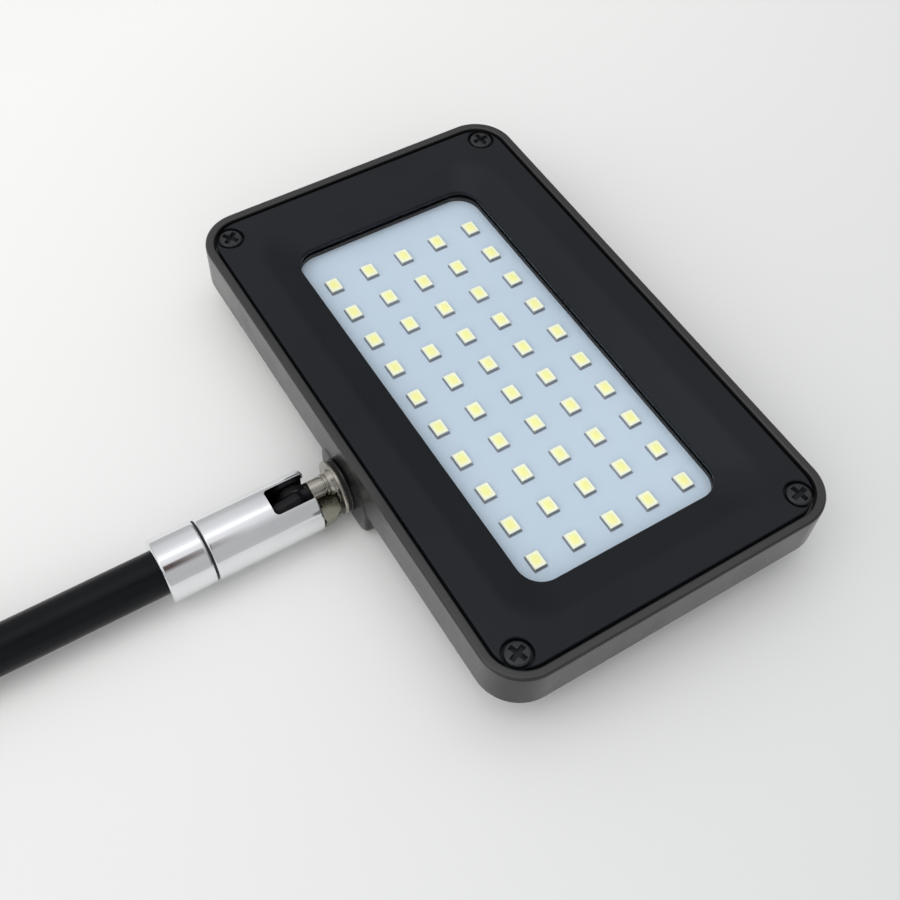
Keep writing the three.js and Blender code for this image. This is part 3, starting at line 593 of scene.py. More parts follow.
def lens():
    mat = bpy.data.materials.new("lens_clear")
    nt, out = nodes_of(mat)
    tr = N(nt, "ShaderNodeBsdfTransparent")
    tr.inputs["Color"].default_value = (0.975, 0.985, 0.99, 1)
    gl = N(nt, "ShaderNodeBsdfGlossy")
    gl.inputs["Color"].default_value = (1, 1, 1, 1)
    vec = coords(nt)
    sm = noise(nt, vec, 40, 3.0)
    nt.links.new(mapr(nt, sm, 0.03, 0.09, 0.3, 0.7), gl.inputs["Roughness"])
    fr = N(nt, "ShaderNodeFresnel")
    fr.inputs["IOR"].default_value = 1.46
    nt.links.new(bump(nt, sm, 0.02, 0.05), gl.inputs["Normal"])
    mx = N(nt, "ShaderNodeMixShader")
    sc = N(nt, "ShaderNodeMath", operation="MULTIPLY")
    sc.inputs[1].default_value = 0.8
    gb = N(nt, "ShaderNodeNewGeometry")
    inv = N(nt, "ShaderNodeMath", operation="SUBTRACT")
    inv.inputs[0].default_value = 1.0
    nt.links.new(gb.outputs["Backfacing"], inv.inputs[1])
    fb = N(nt, "ShaderNodeMath", operation="MULTIPLY")
    nt.links.new(fr.outputs[0], fb.inputs[0])
    nt.links.new(inv.outputs[0], fb.inputs[1])
    nt.links.new(fb.outputs[0], sc.inputs[0])
    nt.links.new(sc.outputs[0], mx.inputs[0])
    nt.links.new(tr.outputs[0], mx.inputs[1])
    nt.links.new(gl.outputs[0], mx.inputs[2])
    nt.links.new(mx.outputs[0], out.inputs["Surface"])
    return mat


M["lens"] = lens()
# black standing in for shade: painted shade on the eye plate, on the core inside the sleeve and on the lens gasket
M["shade_black"] = surface("painted_shade_black", (0.0035, 0.0035, 0.0042), (0.0065, 0.0065, 0.0075), 0.50, 0.06, metal=0.0, var_scale=200, grain_scale=1500, grain=0.2, spec=0.25)


# ------------------------------------------------------------------ head: housing
def corner_r(ins):
    if ins <= 2.0:
        return HR - ins
    return 12.6 - (ins - 2.4)


def housing():
    # open tray: (inset, z, fillet, corner radius family)
    sec = [(9.0, 2.2, 0), (9.0, 8.05, 0.3), (3.5, 8.05, 0.3), (3.5, 16.6, 0.15), (2.0, 16.6, 0.15), (2.0, RIM_TOP, 0.38), (0.0, RIM_TOP, 0.62),
           (0.0, SIDE_BOTTOM, 0.8), (1.9, SIDE_BOTTOM, 0.25), (2.45, SIDE_BOTTOM - 0.2, 0.3), (2.5, 0.0, 6.2), (12.0, 0.0, 0)]
    pts = fillet(sec, 6)
    mouth = max(range(len(pts)), key=lambda i: pts[i][1])
    loops = []
    for k, (ins, z) in enumerate(pts):
        if k < mouth:
            r = HR - ins if ins <= 3.6 else 5.8 - (ins - 3.5) * (0.8 / 5.5)
        elif z > SIDE_BOTTOM - 0.01 and ins <= 1.7:
            r = max(HR - ins, 0.5)
        else:
            r = 12.6 - (ins - 2.4)
        loops.append(rr_loop(HW - ins, HL - ins, max(r, 3.0), z, 14))
    v, f = loft(loops, True, True)
    ob = make("rear_housing_shell", v, f, M["paint"], smooth=40)

    def boss(x_in, grow=0.0):
        lp = []
        for ins, dx in fillet([(0, x_in, 0), (0, 0.0, 1.1), (5.0, 0.0, 0)], 5):
            z0, z1 = 0.06 + ins, 11.6 - ins
            base = rr_loop(9.8 - ins, (z1 - z0) / 2, max(3.6 - ins, 0.3), 0, 8)
            lp.append([(-40.09 + dx, AY - 0.7 + p[0], (z0 + z1) / 2 + p[1]) for p in base])
        return loft(lp)
    boolean(ob, tool(*boss(9.5)), "UNION")
    outer = tool(*loft(loops[mouth:], True, True))
    posts = tool(*join_geo(*[rev([(1.2, 0), (1.2, 3.7), (16.62, 3.7), (16.62, 0)], "Z", (sx * SX, sy * SY), 40, False) for sx in (-1, 1) for sy in (-1, 1)],
                           *[rev([(1.2, 0), (1.2, 3.2), (9.15, 3.2), (9.15, 0)], "Z", (0, sy * 55), 32, False) for sy in (-1, 1)]))
    boolean(posts, outer, "INTERSECT")
    boolean(ob, posts, "UNION")
    for x, y in ((-14, 14), (14, 14), (-14, 38), (14, 38)):
        boolean(ob, tool(*rev([(1.2, 0), (1.2, 1.8), (4.0, 1.8), (4.0, 0)], "Z", (x, y), 24, False)), "UNION")
    # screw holes and stem bore
    for sx in (-1, 1):
        for sy in (-1, 1):
            boolean(ob, tool(*rev([(7.0, 0), (7.0, 1.5), (18, 1.5), (18, 0)], "Z", (sx * SX, sy * SY), 28, False)), "DIFFERENCE")
    for sy in (-1, 1):
        boolean(ob, tool(*rev([(4.0, 0), (4.0, 1.3), (10, 1.3), (10, 0)], "Z", (0, sy * 55), 24, False)), "DIFFERENCE")
    boolean(ob, tool(*rev([(-45, 0), (-45, 3.6), (-20, 3.6), (-20, 0)], "X", (AY, AZ), 48, False)), "DIFFERENCE")
    # stadium cooling grooves in the back
    for x in (-22, -16, -10, -4, 4, 10, 16, 22):
        lp = []
        for ins, z in ((0.0, -1.0), (0.0, 0.55), (0.12, 0.78), (0.35, 0.9)):
            lp.append(rr_loop(1.0 - ins, 46.0 - ins, 1.0 - ins, z, 6, x, 0))
        boolean(ob, tool(*loft(lp)), "DIFFERENCE")
    shade(ob, 38)
    finish_piece(ob, "head", ("rear_housing",))
    return ob


housing()


# ------------------------------------------------------------------ head: bezel
def bezel():
    bw, bl = 37.25, 62.4
    full = bw - 23.1
    sec = fillet([
        (6.0, 16.72, 0), (0.0, 16.72, 0.2), (0.0, BEZ_TOP, 0.42), (7.35, BEZ_TOP, 6.0), (full, 16.2, 0.5),
        (full, 15.32, 0.1), (6.6, 15.32, 0.1), (6.0, 16.72, 0)], 8)[:-1]
    loops = []
    for ins, z in sec:
        t = max(0.0, min(1.0, ins / full))
        r = 6.75 + 9.0 * t * (1 - t) * 1.05 + (WINR - 6.75) * t
        loops.append(rr_loop(bw - ins, bl - ins * (bl - 48.5) / full, r, z, 16))
    v, f = loft(loops, False, False, closed=True)
    ob = make("front_bezel_frame", v, f, M["bezel"], smooth=40)
    for sx in (-1, 1):
        for sy in (-1, 1):
            x, y = sx * SX, sy * SY
            v, f = rev(fillet([(25, 0, 0), (25, 3.35, 0), (BEZ_TOP + 0.02, 3.35, 0), (BEZ_TOP - 0.22, 3.12, 0), (BEZ_TOP - 1.55, 3.08, 0.1), (BEZ_TOP - 1.55, 2.3, 0.1), (BEZ_TOP - 0.9, 2.2, 0), (BEZ_TOP - 0.9, 0, 0)], 3),
                       "Z", (x, y), 48, False)
            boolean(ob, tool(v, f), "DIFFERENCE")
    shade(ob, 38)
    finish_piece(ob, "head", ("front_bezel",))
    return ob


bezel()


# ------------------------------------------------------------------ bezel screws
def cross_cutter(x, y, z_top, ang, half=1.95, arm=0.58, depth=1.25):
    def outline(s, t):
        a, h = arm * t, half * s
        pts = [(h, -a), (h, a), (a, a), (a, h), (-a, h), (-a, a), (-h, a), (-h, -a), (-a, -a), (-a, -h), (a, -h), (a, -a)]
        c, q = math.cos(ang), math.sin(ang)
        return [(x + px * c - py * q, y + px * q + py * c) for px, py in pts]
    lp = []
    for s, t, z in ((1.15, 1.1, z_top + 0.6), (1.0, 1.0, z_top), (0.82, 0.8, z_top - depth)):
        lp.append([(px, py, z) for px, py in outline(s, t)])
    return loft(lp)


for i, (sx, sy) in enumerate(((-1, 1), (1, 1), (-1, -1), (1, -1))):
    x, y = sx * SX, sy * SY
    seat = BEZ_TOP - 0.86
    prof = fillet([(8.0, 0, 0), (8.0, 1.2, 0), (seat, 1.35, 0), (seat, 2.55, 0.1), (seat + 0.55, 2.55, 0.22), (seat + 0.80, 2.2, 0.5), (seat + 0.86, 1.2, 0.8), (seat + 0.87, 0, 0)], 5)
    v, f = rev(prof, "Z", (x, y), 56, False)
    ob = make("bezel_screw_head_%d" % (i + 1), v, f, M["screw"], smooth=40)
    ang = (0.62, 0.05, 0.35, 0.2)[i]
    cv, cf = cross_cutter(x, y, seat + 0.9, ang)
    boolean(ob, tool(cv, cf), "DIFFERENCE")
    shade(ob, 35)
    finish_piece(ob, "head", ("bezel_screw_%d" % (i + 1),))

# ------------------------------------------------------------------ lens
v, f = rounded_box(-27, 27, -52, 52, 14.38, 15.25, 0.18, 3, rc=7)
make("lens_pane", v, f, M["lens"], "head", 40, ("lens_window",), "lens_clear")


# ------------------------------------------------------------------ LED board
def led_board():
    v, f = rounded_box(-30, 30, -52.5, 52.5, 11.66, 13.2, 0.1, 2, rc=2)
    make("led_board_panel", v, f, M["board"], "head", 40, ("led_board",), "board_white")
    bodies, phos, pads = [], [], []
    for i in range(5):
        for j in range(10):
            x = (i - 2) * 9.0
            y = (j - 4.5) * 9.0 - 2.0
            # package: moulded white body with a lens-shaped well filled with phosphor
            lp = []
            for ins, z in ((0.0, 13.22), (0.0, 13.88), (0.08, 13.98), (0.34, 14.0), (0.44, 13.94)):
                lp.append(rr_loop(1.4 - ins, 1.75 - ins, 0.14 if ins < 0.2 else 0.5, z, 3, x, y))
            bodies.append(loft(lp, True, True))
            lp = []
            for ins, z in ((0.455, 13.90), (0.45, 13.955), (0.60, 13.985), (0.95, 13.995)):
                lp.append(rr_loop(1.4 - ins, 1.75 - ins, max(0.5 - (ins - 0.45) * 0.5, 0.15), z, 3, x, y))
            phos.append(loft(lp, True, True))
            # land under the body, wider at the lower end, and the solder fillets on the two ends
            lp = []
            for ins, z in ((0.0, 13.2), (0.02, 13.235), (0.06, 13.25)):
                lp.append(rr_loop(1.62 - ins, 2.05 - ins, 0.15, z, 2, x, y - 0.1))
            pads.append(loft(lp, True, True))
            for s in (-1, 1):
                # fillet of solder climbing the lead
                y0, y1 = y + s * 1.755, y + s * 2.0
                a = [(x - 1.05, y0, 13.24), (x + 1.05, y0, 13.24), (x + 1.05, y0, 13.62), (x - 1.05, y0, 13.62),
                     (x - 1.12, y1, 13.24), (x + 1.12, y1, 13.24), (x + 0.9, (y0 + y1) / 2, 13.34), (x - 0.9, (y0 + y1) / 2, 13.34)]
                pads.append((a, [(0, 1, 2, 3), (0, 4, 5, 1), (3, 2, 6, 7), (7, 6, 5, 4), (0, 3, 7, 4), (1, 5, 6, 2)]))
    ob = make("led_packages", *join_geo(*bodies), M["phosphor"], smooth=40)
    # painted shade: faces that are not turned up get the grey side material
    ob.data.materials.append(M["led_side_painted_shade"])
    for p in ob.data.polygons:
        p.material_index = 1 if abs(p.normal.z) < 0.5 else 0
    finish_piece(ob, "head", ())
    make("led_phosphor", *join_geo(*phos), M["phosphor"], "head", 40, (), "board_white")
    make("led_solder", *join_geo(*pads), M["solder"], "head", 40, (), "board_white")


led_board()

# ------------------------------------------------------------------ stem
neck = rev(fillet([(-47.4, 1.55, 0), (-47.4, 2.05, 0.22), (-44.55, 2.05, 0.04), (-44.48, 1.82, 0.04), (-44.15, 1.82, 0.04), (-44.08, 2.3, 0.08), (-43.75, 2.3, 0.05), (-43.68, 2.12, 0.04), (-43.5, 2.12, 0.04), (-43.42, 2.45, 0.1), (-42.9, 2.7, 0.3), (-42.15, 2.75, 0),
                   (-42.15, 1.55, 0)], 4), "X", (AY, NZ), 64, True)
ob = make("stem_neck", *neck, M["nickel"], smooth=35)
shade(ob, 35)
finish_piece(ob, "head", ("stem_fitting",))
def thread(x0, x1, r, depth, pitch, c, n=40, per=10, axis="X"):
    """plain shaft with a helical V thread, capped."""
    m = int((x1 - x0) / pitch * per)
    loops = []
    for k in range(m + 1):
        a = x0 + (x1 - x0) * k / m
        lp = []
        fade = min(1.0, (a - x0) / pitch, (x1 - a) / pitch)
        for i in range(n):
            q = 2 * math.pi * i / n
            ph = ((a / pitch) - i / n) % 1.0
            d = abs(ph - 0.5) * 2
            rr = r - depth * (1 - min(1.0, max(0.0, (d - 0.12) / 0.76))) * max(0.0, fade)
            lp.append((a, c[0] + rr * math.cos(q), c[1] + rr * math.sin(q)))
        loops.append(lp)
    return loft(loops)


make("stem_shank", *thread(-42.35, -28.1, 3.36, 0.35, 0.9, (AY, AZ)), M["nickel"], "head", 50, (), "nickel")


# eye plate: round disc with an arm up to the neck
def eye_plate():
    pts = []
    R = 3.84
    for i in range(40):
        a = math.radians(50 + i * (302.0 / 39))
        pts.append((PIV + R * math.cos(a), AZ + R * math.sin(a)))
    pts += [(PIV + R + 0.15, AZ + 0.75), (-45.4, AZ + 0.95), (-45.4, AZ + 2.7), (PIV + 3.6, AZ + 2.9)]
    loops = []
    for ins, y in ((0.34, AY + 0.92), (0.0, AY + 1.22), (0.0, AY + 2.30), (0.12, AY + 2.42)):
        cx = sum(p[0] for p in pts) / len(pts); cz = sum(p[1] for p in pts) / len(pts)
        k = 1 - ins / 4.5
        loops.append([(cx + (p[0] - cx) * k, y, cz + (p[1] - cz) * k) for p in pts])
    ob = make("pivot_eye", *loft(loops), M["nickel"], smooth=35)
    v, f = rev([(AY - 2, 0), (AY - 2, 1.6), (AY + 4, 1.6), (AY + 4, 0)], "Y", (PIV, AZ), 40, False)
    boolean(ob, tool(v, f), "DIFFERENCE")
    shade(ob, 35)
    # faces and rim get the black painted-shade material for the shade inside the slot; the bare metal shows only on
    # the chamfer
    ob.data.materials.clear()
    ob.data.materials.append(M["nickel"])
    ob.data.materials.append(M["shade_black"])
    for p in ob.data.polygons:
        p.material_index = 0 if 0.15 < abs(p.normal.y) < 0.92 else 1
    finish_piece(ob, "head", ())


eye_plate()
v, f = rev(fillet([(-42.15, 3.45, 0), (-42.15, 6.0, 0.3), (-41.3, 6.0, 0.2), (-41.3, 3.45, 0)], 5), "X", (AY, AZ), 96)
make("stem_flange_disc", v, f, M["nickel"], "head", 38, ("stem_flange",), "nickel")
v, f = rev(fillet([(-41.27, 3.5, 0), (-41.27, 5.6, 0.1), (-40.77, 5.6, 0.1), (-40.77, 3.5, 0)], 3), "X", (AY, AZ), 72)
make("stem_gasket_ring", v, f, M["rubber"], "head", 38, ("stem_gasket",), "rubber_black")
v, f = rev(fillet([(-40.74, 3.5, 0), (-40.74, 5.9, 0.16), (-40.13, 5.9, 0.1), (-40.13, 3.5, 0)], 4), "X", (AY, AZ), 96)
make("stem_washer_disc", v, f, M["washer"], "head", 38, ("stem_washer",), "steel_plain")

# ------------------------------------------------------------------ knuckle
def sleeve():
    prof = fillet([(-70.65, 3.65, 0), (-70.65, SR, 0.42), (-47.3, SR, 0.42), (-47.3, 5.3, 0.12), (-68.4, 5.3, 0), (-68.4, 3.65, 0)], 6)
    ob = make("knuckle_sleeve_tube", *rev(prof, "X", (AY, AZ), 160), M["chrome"], smooth=35)
    # slot on the crest: square inner end with small corner radii
    lp = []
    x0, x1, hy, r = -56.2, -44.0, 3.1, 1.0
    pts = []
    for (cx, cy, a0) in ((x1 - r, hy - r, 0), (x0 + r, hy - r, 90), (x0 + r, -hy + r, 180), (x1 - r, -hy + r, 270)):
        for i in range(9):
            a = math.radians(a0 + 90 * i / 8)
            pts.append((cx + r * math.cos(a), AY - 0.4 + cy + r * math.sin(a)))
    lp = [[(p[0], p[1], AZ) for p in pts], [(p[0], p[1], AZ + 9) for p in pts]]
    boolean(ob, tool(*loft(lp)), "DIFFERENCE")
    bevel(ob, 0.30, 4, 50, 35)
    finish_piece(ob, "knuckle", ("knuckle_sleeve",))


sleeve()


def core():
    prof = fillet([(-61.2, 0, 0), (-61.2, 5.22, 0.2), (-47.22, 5.22, 0), (-47.12, 5.45, 0), (-46.85, 6.58, 0.2), (-44.9, 6.5, 2.5), (-43.1, 5.6, 1.2), (-42.62, 3.6, 0.6), (-42.62, 0, 0)], 7)
    ob = make("knuckle_core_nose", *rev(prof, "X", (AY, AZ), 112, False), M["nose"], smooth=35)
    boolean(ob, tool(*geo_box(-47.55, -38, AY - 12, AY + 12, AZ + 0.4, AZ + 12)), "DIFFERENCE")
    # clearance on the far side for the arm of the eye plate
    boolean(ob, tool(*geo_box(-47.55, -38, AY + 0.75, AY + 12, AZ - 3.4, AZ + 12)), "DIFFERENCE")
    boolean(ob, tool(*geo_box(-56.2, -46.1, AY - 3.3, AY + 3.3, AZ - 4.25, AZ + 12)), "DIFFERENCE")
    v, f = rev([(-70, 0), (-70, 2.3), (-55.9, 2.3), (-55.9, 0)], "X", (AY, AZ + 1.2), 40, False)
    boolean(ob, tool(v, f), "DIFFERENCE")
    bevel(ob, 0.12, 2, 50, 35)
    ob.data.materials.clear()
    ob.data.materials.append(M["nose"])
    ob.data.materials.append(M["shade_black"])
    # painted shade: the core inside the sleeve (x < -47.2) gets the black painted-shade material
    for p in ob.data.polygons:
        c = p.center / MM
        p.material_index = 1 if (c.x < -47.2) else 0
    finish_piece(ob, "knuckle", ("knuckle_core",))


core()

# cable through the slot: bends between the sleeve and the stem
cab = tube_path([(-61.5, AY, AZ + 0.8), (-59, AY, AZ + 1.1), (-56.8, AY - 0.4, AZ + 1.6), (-54.2, AY - 0.95, AZ + 2.6), (-51.2, AY - 0.9, AZ + 3.1), (-48.6, AY - 0.2, NZ), (-45.4, AY, NZ)], 1.0, 28, 66,
                radius_fn=lambda t: 1.95 if t < 0.72 else (1.95 - 0.5 * min(1.0, (t - 0.72) / 0.07)))
ob = make("slot_cable", *cab, M["slot_cable"], smooth=60)
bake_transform(ob)
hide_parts("knuckle_cable")

# pivot pin
v, f = rev(fillet([(AY - 5.0, 0, 0), (AY - 5.0, 1.5, 0.25), (AY + 5.0, 1.5, 0.25), (AY + 5.0, 0, 0)], 3), "Y", (PIV, AZ), 40, False)
make("pivot_pin_rod", v, f, M["steel"], "knuckle", 38, ("pivot_pin",), "steel_plain")

# ------------------------------------------------------------------ arm
v, f = rev(fillet([(-80.5, 4.75, 0), (-80.5, SR, 0.6), (-71.05, SR, 0.42), (-71.05, 3.6, 0), (-73.8, 3.6, 0), (-73.8, 4.75, 0)], 6), "X", (AY, AZ), 160)
make("arm_collar_ring", v, f, M["chrome"], "arm", 35, ("arm_collar",), "chrome")
v, f = rev(fillet([(-71.02, 3.7, 0), (-71.02, 6.42, 0.08), (-70.70, 6.42, 0.08), (-70.70, 3.7, 0)], 3), "X", (AY, AZ), 96)
make("swivel_seam_washer", v, f, M["rubber"], "arm", 35, ("swivel_washer",), "rubber_black")
v, f = rev(fillet([(XT, 3.85, 0), (XT, 4.7, 0.2), (-73.9, 4.7, 0.2), (-73.9, 3.85, 0)], 3), "X", (AY, AZ), 112)
make("arm_tube_shell", v, f, M["tube"], "arm", 35, ("arm_tube",), "tube_black")
v, f = rev(fillet([(XT + 14.05, 4.75, 0), (XT + 14.05, 6.4, 0.35), (XT + 20, 6.4, 0.45), (XT + 20, 4.75, 0)], 5), "X", (AY, AZ), 112)
make("base_ring_trim", v, f, M["chrome"], "arm", 35, ("base_ring",), "chrome")


# ------------------------------------------------------------------ clamp
def clamp():
    fx1 = XT - 9.0
    bx1 = FX0 - 26.0
    bx0 = bx1 - 8.0
    pts = []

    def arc(cx, cy, r, a0, a1, n=8):
        for i in range(n + 1):
            a = math.radians(a0 + (a1 - a0) * i / n)
            pts.append((cx + r * math.cos(a), cy + r * math.sin(a)))
    yt, yb = 18.0, -20.0
    arc(fx1 - 2, yb + 2, 2, -90, 0)
    arc(fx1 - 4, yt - 4, 4, 0, 90)
    arc(bx0 + 4, yt - 4, 4, 90, 180)
    arc(bx0 + 2, yb + 2, 2, 180, 270)
    arc(bx1 - 1.5, yb + 1.5, 1.5, -90, 0)
    arc(bx1 + 3, yt - 9, 3, 180, 90)
    arc(FX0 - 3, yt - 9, 3, 90, 0)
    arc(FX0 + 1.5, yb + 1.5, 1.5, 180, 270)
    ob = make("clamp_frame_body", *loft([[(p[0], p[1], z) for p in pts] for z in (0.0, 12.8)]), M["clamp"], smooth=38)
    bevel(ob, 0.55, 4, 50, 38)
    # socket for the arm
    prof = fillet([(XT - 10, 0, 0), (XT - 10, 6.4, 0), (XT + 14, 6.4, 0.7), (XT + 14, 0, 0)], 5)
    boolean(ob, tool(*rev(prof, "X", (AY, AZ - 0.05), 96, False)), "UNION")
    for v, f in (rev([(XT, 0), (XT, 4.76), (XT + 20, 4.76), (XT + 20, 0)], "X", (AY, AZ), 72, False),
                 rev([(AY - 14, 0), (AY - 14, 2.9), (AY, 2.9), (AY, 0)], "Y", (XT - 4, AZ), 48, False),
                 rev([(AY + 2, 0), (AY + 2, 2.05), (AY + 10, 2.05), (AY + 10, 0)], "Y", (XT + 7, AZ), 40, False),
                 rev([(bx0 - 2, 0), (bx0 - 2, 3.6), (bx0 + 0.5, 3.1), (bx1 - 0.5, 3.1), (bx1 + 2, 3.6), (bx1 + 2, 0)], "X", (-10, AZ), 56, False)):
        boolean(ob, tool(v, f), "DIFFERENCE")
    # shallow lightening pocket on the top face of the spine
    for z0, z1 in ((-1, 0.7), (12.1, 14)):
        hw = (fx1 - bx0) / 2 - 9
        lp = [rr_loop(hw, 1.7, 1.7, z0, 8, (fx1 + bx0) / 2, 15.0), rr_loop(hw, 1.7, 1.7, z1, 8, (fx1 + bx0) / 2, 15.0)]
        if z0 < 0:
            continue
        boolean(ob, tool(*loft(lp)), "DIFFERENCE")
    shade(ob, 35)
    finish_piece(ob, "arm", ("clamp_frame",))


clamp()


def jaw_pad():
    # ribbed rubber pad on the fixed jaw
    lp = []
    for ins, x in ((0.0, FX0 - 0.02), (0.0, FX0 - 0.85), (0.25, FX0 - 1.1)):
        base = rr_loop(8.25 - ins, 5.4 - ins, 1.4, 0, 6)
        lp.append([(x, -9.75 + p[0], 6.4 + p[1]) for p in base])
    parts = [loft(lp)]
    for k in range(7):
        y = -9.75 - 6.6 + k * 2.2
        parts.append(rounded_box(FX0 - 1.25, FX0 - 0.9, y - 0.6, y + 0.6, 2.0, 10.8, 0.12, 2, rc=0.14))
    make("fixed_jaw_pad_ribbed", *join_geo(*parts), M["rubber"], "arm", 38, ("fixed_jaw_pad",), "rubber_black")


jaw_pad()

# grub screw
v, f = rev(fillet([(AY + 4.75, 0, 0), (AY + 4.75, 1.95, 0.2), (AY + 6.25, 1.95, 0.2), (AY + 6.25, 0, 0)], 3), "Y", (XT + 7, AZ), 40, False)
ob = make("base_grub", v, f, M["steel"], smooth=38)
hx = [(XT + 7 + 1.0 * math.cos(math.radians(60 * i)), AZ + 1.0 * math.sin(math.radians(60 * i))) for i in range(6)]
boolean(ob, tool(*loft([[(p[0], AY + 5.3, p[1]) for p in hx], [(p[0], AY + 8, p[1]) for p in hx]])), "DIFFERENCE")
shade(ob, 35)
finish_piece(ob, "arm", ("base_grub_screw",))

# clamp screw: thread, ball end, foot and pad
sv, sf = thread(FX - 36.0, FX - 6.4, 3.0, 0.75, 2.0, (-10, AZ), 48, 14)
tip = rev(fillet([(FX - 6.6, 0, 0), (FX - 6.6, 2.2, 0), (FX - 5.6, 1.6, 0.3), (FX - 4.2, 1.6, 0.3), (FX - 3.6, 2.1, 0.3), (FX - 2.7, 2.0, 0.4), (FX - 2.6, 0, 0)], 4), "X", (-10, AZ), 48, False)
make("clamp_screw_thread", *join_geo((sv, sf), tip), M["steel"], "screw", 45, ("clamp_screw",), "steel_plain")


def knob():
    # ribbed thumb knob
    prof = fillet([(FX - 46, 0, 0), (FX - 46, 3.4, 0.2), (FX - 45.6, 3.6, 0.2), (FX - 46.0, 3.9, 0.2), (FX - 46.0, 5.2, 0.9), (FX - 44.4, 6.3, 0.8), (FX - 36.2, 6.3, 0.8), (FX - 34.6, 5.1, 0.6), (FX - 34.5, 3.05, 0)], 4)
    n = 24 * 8
    loops = []
    for a, r in prof[1:]:
        lp = []
        for i in range(n):
            q = 2 * math.pi * i / n
            g = 0.5 - 0.5 * math.cos(24 * q)
            g = g ** 1.6
            amt = 0.55 * g * max(0.0, min(1.0, (r - 5.0) / 0.9))
            lp.append((a, -10 + (r - amt) * math.cos(q), AZ + (r - amt) * math.sin(q)))
        loops.append(lp)
    make("clamp_knob_ribbed", *loft(loops), M["knob"], "screw", 40, ("clamp_knob",), "knob_plastic")


knob()
v, f = rev(fillet([(FX - 5.0, 1.75, 0), (FX - 5.0, 3.6, 0.4), (FX - 4.4, 4.4, 0.4), (FX - 2.9, 5.95, 0.5), (FX - 1.5, 6.0, 0.2), (FX - 1.5, 0, 0), (FX - 2.4, 0, 0), (FX - 2.4, 2.35, 0), (FX - 3.9, 2.35, 0), (FX - 4.4, 1.75, 0)], 4), "X", (-10, AZ), 72, True)
make("clamp_foot_cup", v, f, M["steel"], "foot", 38, ("clamp_foot",), "steel_plain")
v, f = rev(fillet([(FX - 1.45, 0, 0), (FX - 1.45, 5.6, 0), (FX - 0.25, 5.6, 0.35), (FX - 0.02, 4.9, 0.1), (FX - 0.02, 4.2, 0), (FX - 0.35, 3.9, 0.1), (FX - 0.35, 3.5, 0.1), (FX, 3.2, 0.1), (FX, 0, 0)], 3), "X", (-10, AZ), 72, False)
make("foot_pad_disc", v, f, M["rubber"], "foot", 38, ("foot_pad",), "rubber_black")

# strain relief with ribs, lead and in-line socket
prof = [(AY - 3.9, 2.0, 0), (AY - 3.9, 2.85, 0.1), (AY - 6.5, 2.85, 0), (AY - 6.6, 4.1, 0.3), (AY - 8.2, 4.1, 0.4)]
y = AY - 8.6
for k in range(5):
    r = 3.65 - 0.19 * k
    prof += [(y, r - 0.55, 0.15), (y - 0.55, r - 0.55, 0.15), (y - 0.65, r, 0.2), (y - 1.6, r - 0.08, 0.2)]
    y -= 2.1
prof += [(y, 2.55, 0.2), (AY - 19.35, 2.5, 0.3), (AY - 19.35, 2.0, 0)]
v, f = rev(fillet(prof, 3), "Y", (XT - 4, AZ), 64)
make("strain_relief_boot", v, f, M["rubber"], "arm", 45, ("strain_relief",), "rubber_black")
lead = tube_path([(XT - 4, AY - 4.3, AZ), (XT - 4, AY - 12, AZ), (XT - 4, AY - 20.5, AZ), (XT - 2.6, AY - 29, AZ - 1.0), (XT + 4, AY - 40, 3.0),
                  (XT + 18, AY - 49, 2.2), (XT + 36, AY - 53, 2.6), (XT + 48, AY - 54, 4.6), (XT + 55, AY - 54, 5.2), (XT + 61.1, AY - 54, 5.2)], 1.95, 28, 180)
make("power_lead_jacket", *lead, M["cable"], "arm", 60, ("power_lead",), "cable_black")
prof = [(XT + 61.2, 0, 0), (XT + 61.2, 2.5, 0.3)]
x = XT + 62.0
for k in range(3):
    r = 2.6 + 0.35 * k
    prof += [(x, r, 0.1), (x + 0.1, r + 0.45, 0.15), (x + 1.0, r + 0.5, 0.15), (x + 1.1, r + 0.1, 0.1)]
    x += 1.5
prof += [(XT + 67.2, 4.4, 0.4), (XT + 68.6, 5.1, 0.6), (XT + 74, 5.1, 0.3), (XT + 74.3, 4.75, 0.2), (XT + 75.3, 4.75, 0.2), (XT + 75.6, 5.1, 0.3), (XT + 92.0, 5.1, 0.5), (XT + 92.6, 4.6, 0.3),
         (XT + 92.6, 2.9, 0.25), (XT + 82, 2.9, 0), (XT + 82, 0, 0)]
v, f = rev(fillet(prof, 4), "X", (AY - 54, 5.2), 72, False)
make("lead_socket_shell", v, f, M["knob"], "arm", 38, ("lead_socket",), "knob_plastic")
v, f = rev(fillet([(XT + 81.9, 0, 0), (XT + 81.9, 1.0, 0), (XT + 91.4, 1.0, 0.5), (XT + 91.5, 0, 0)], 4), "X", (AY - 54, 5.2), 32, False)
make("lead_socket_pin", v, f, M["brass"], "arm", 38, (), "brass")

# ------------------------------------------------------------------ pieces that stay as CAD get their own finishes
# the lens gasket takes the black painted-shade material
KEEP = {
    "lens_gasket": "shade_black", "thermal_pad": "pad", "heat_spreader": "alu", "spreader_screw_1": "steel", "spreader_screw_2": "steel",
    "driver_board": "pcb", "led_wire_plus": "wire_red", "led_wire_minus": "wire_black", "stem_lock_nut": "brass", "head_cable": "cable",
    "pivot_washer": "steel", "swivel_post": "brass", "swivel_spring_washer": "steel", "swivel_lock_nut": "steel", "arm_cable": "cable",
}
for name, key in KEEP.items():
    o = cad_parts[name]
    o.data.materials.clear()
    o.data.materials.append(M[key])


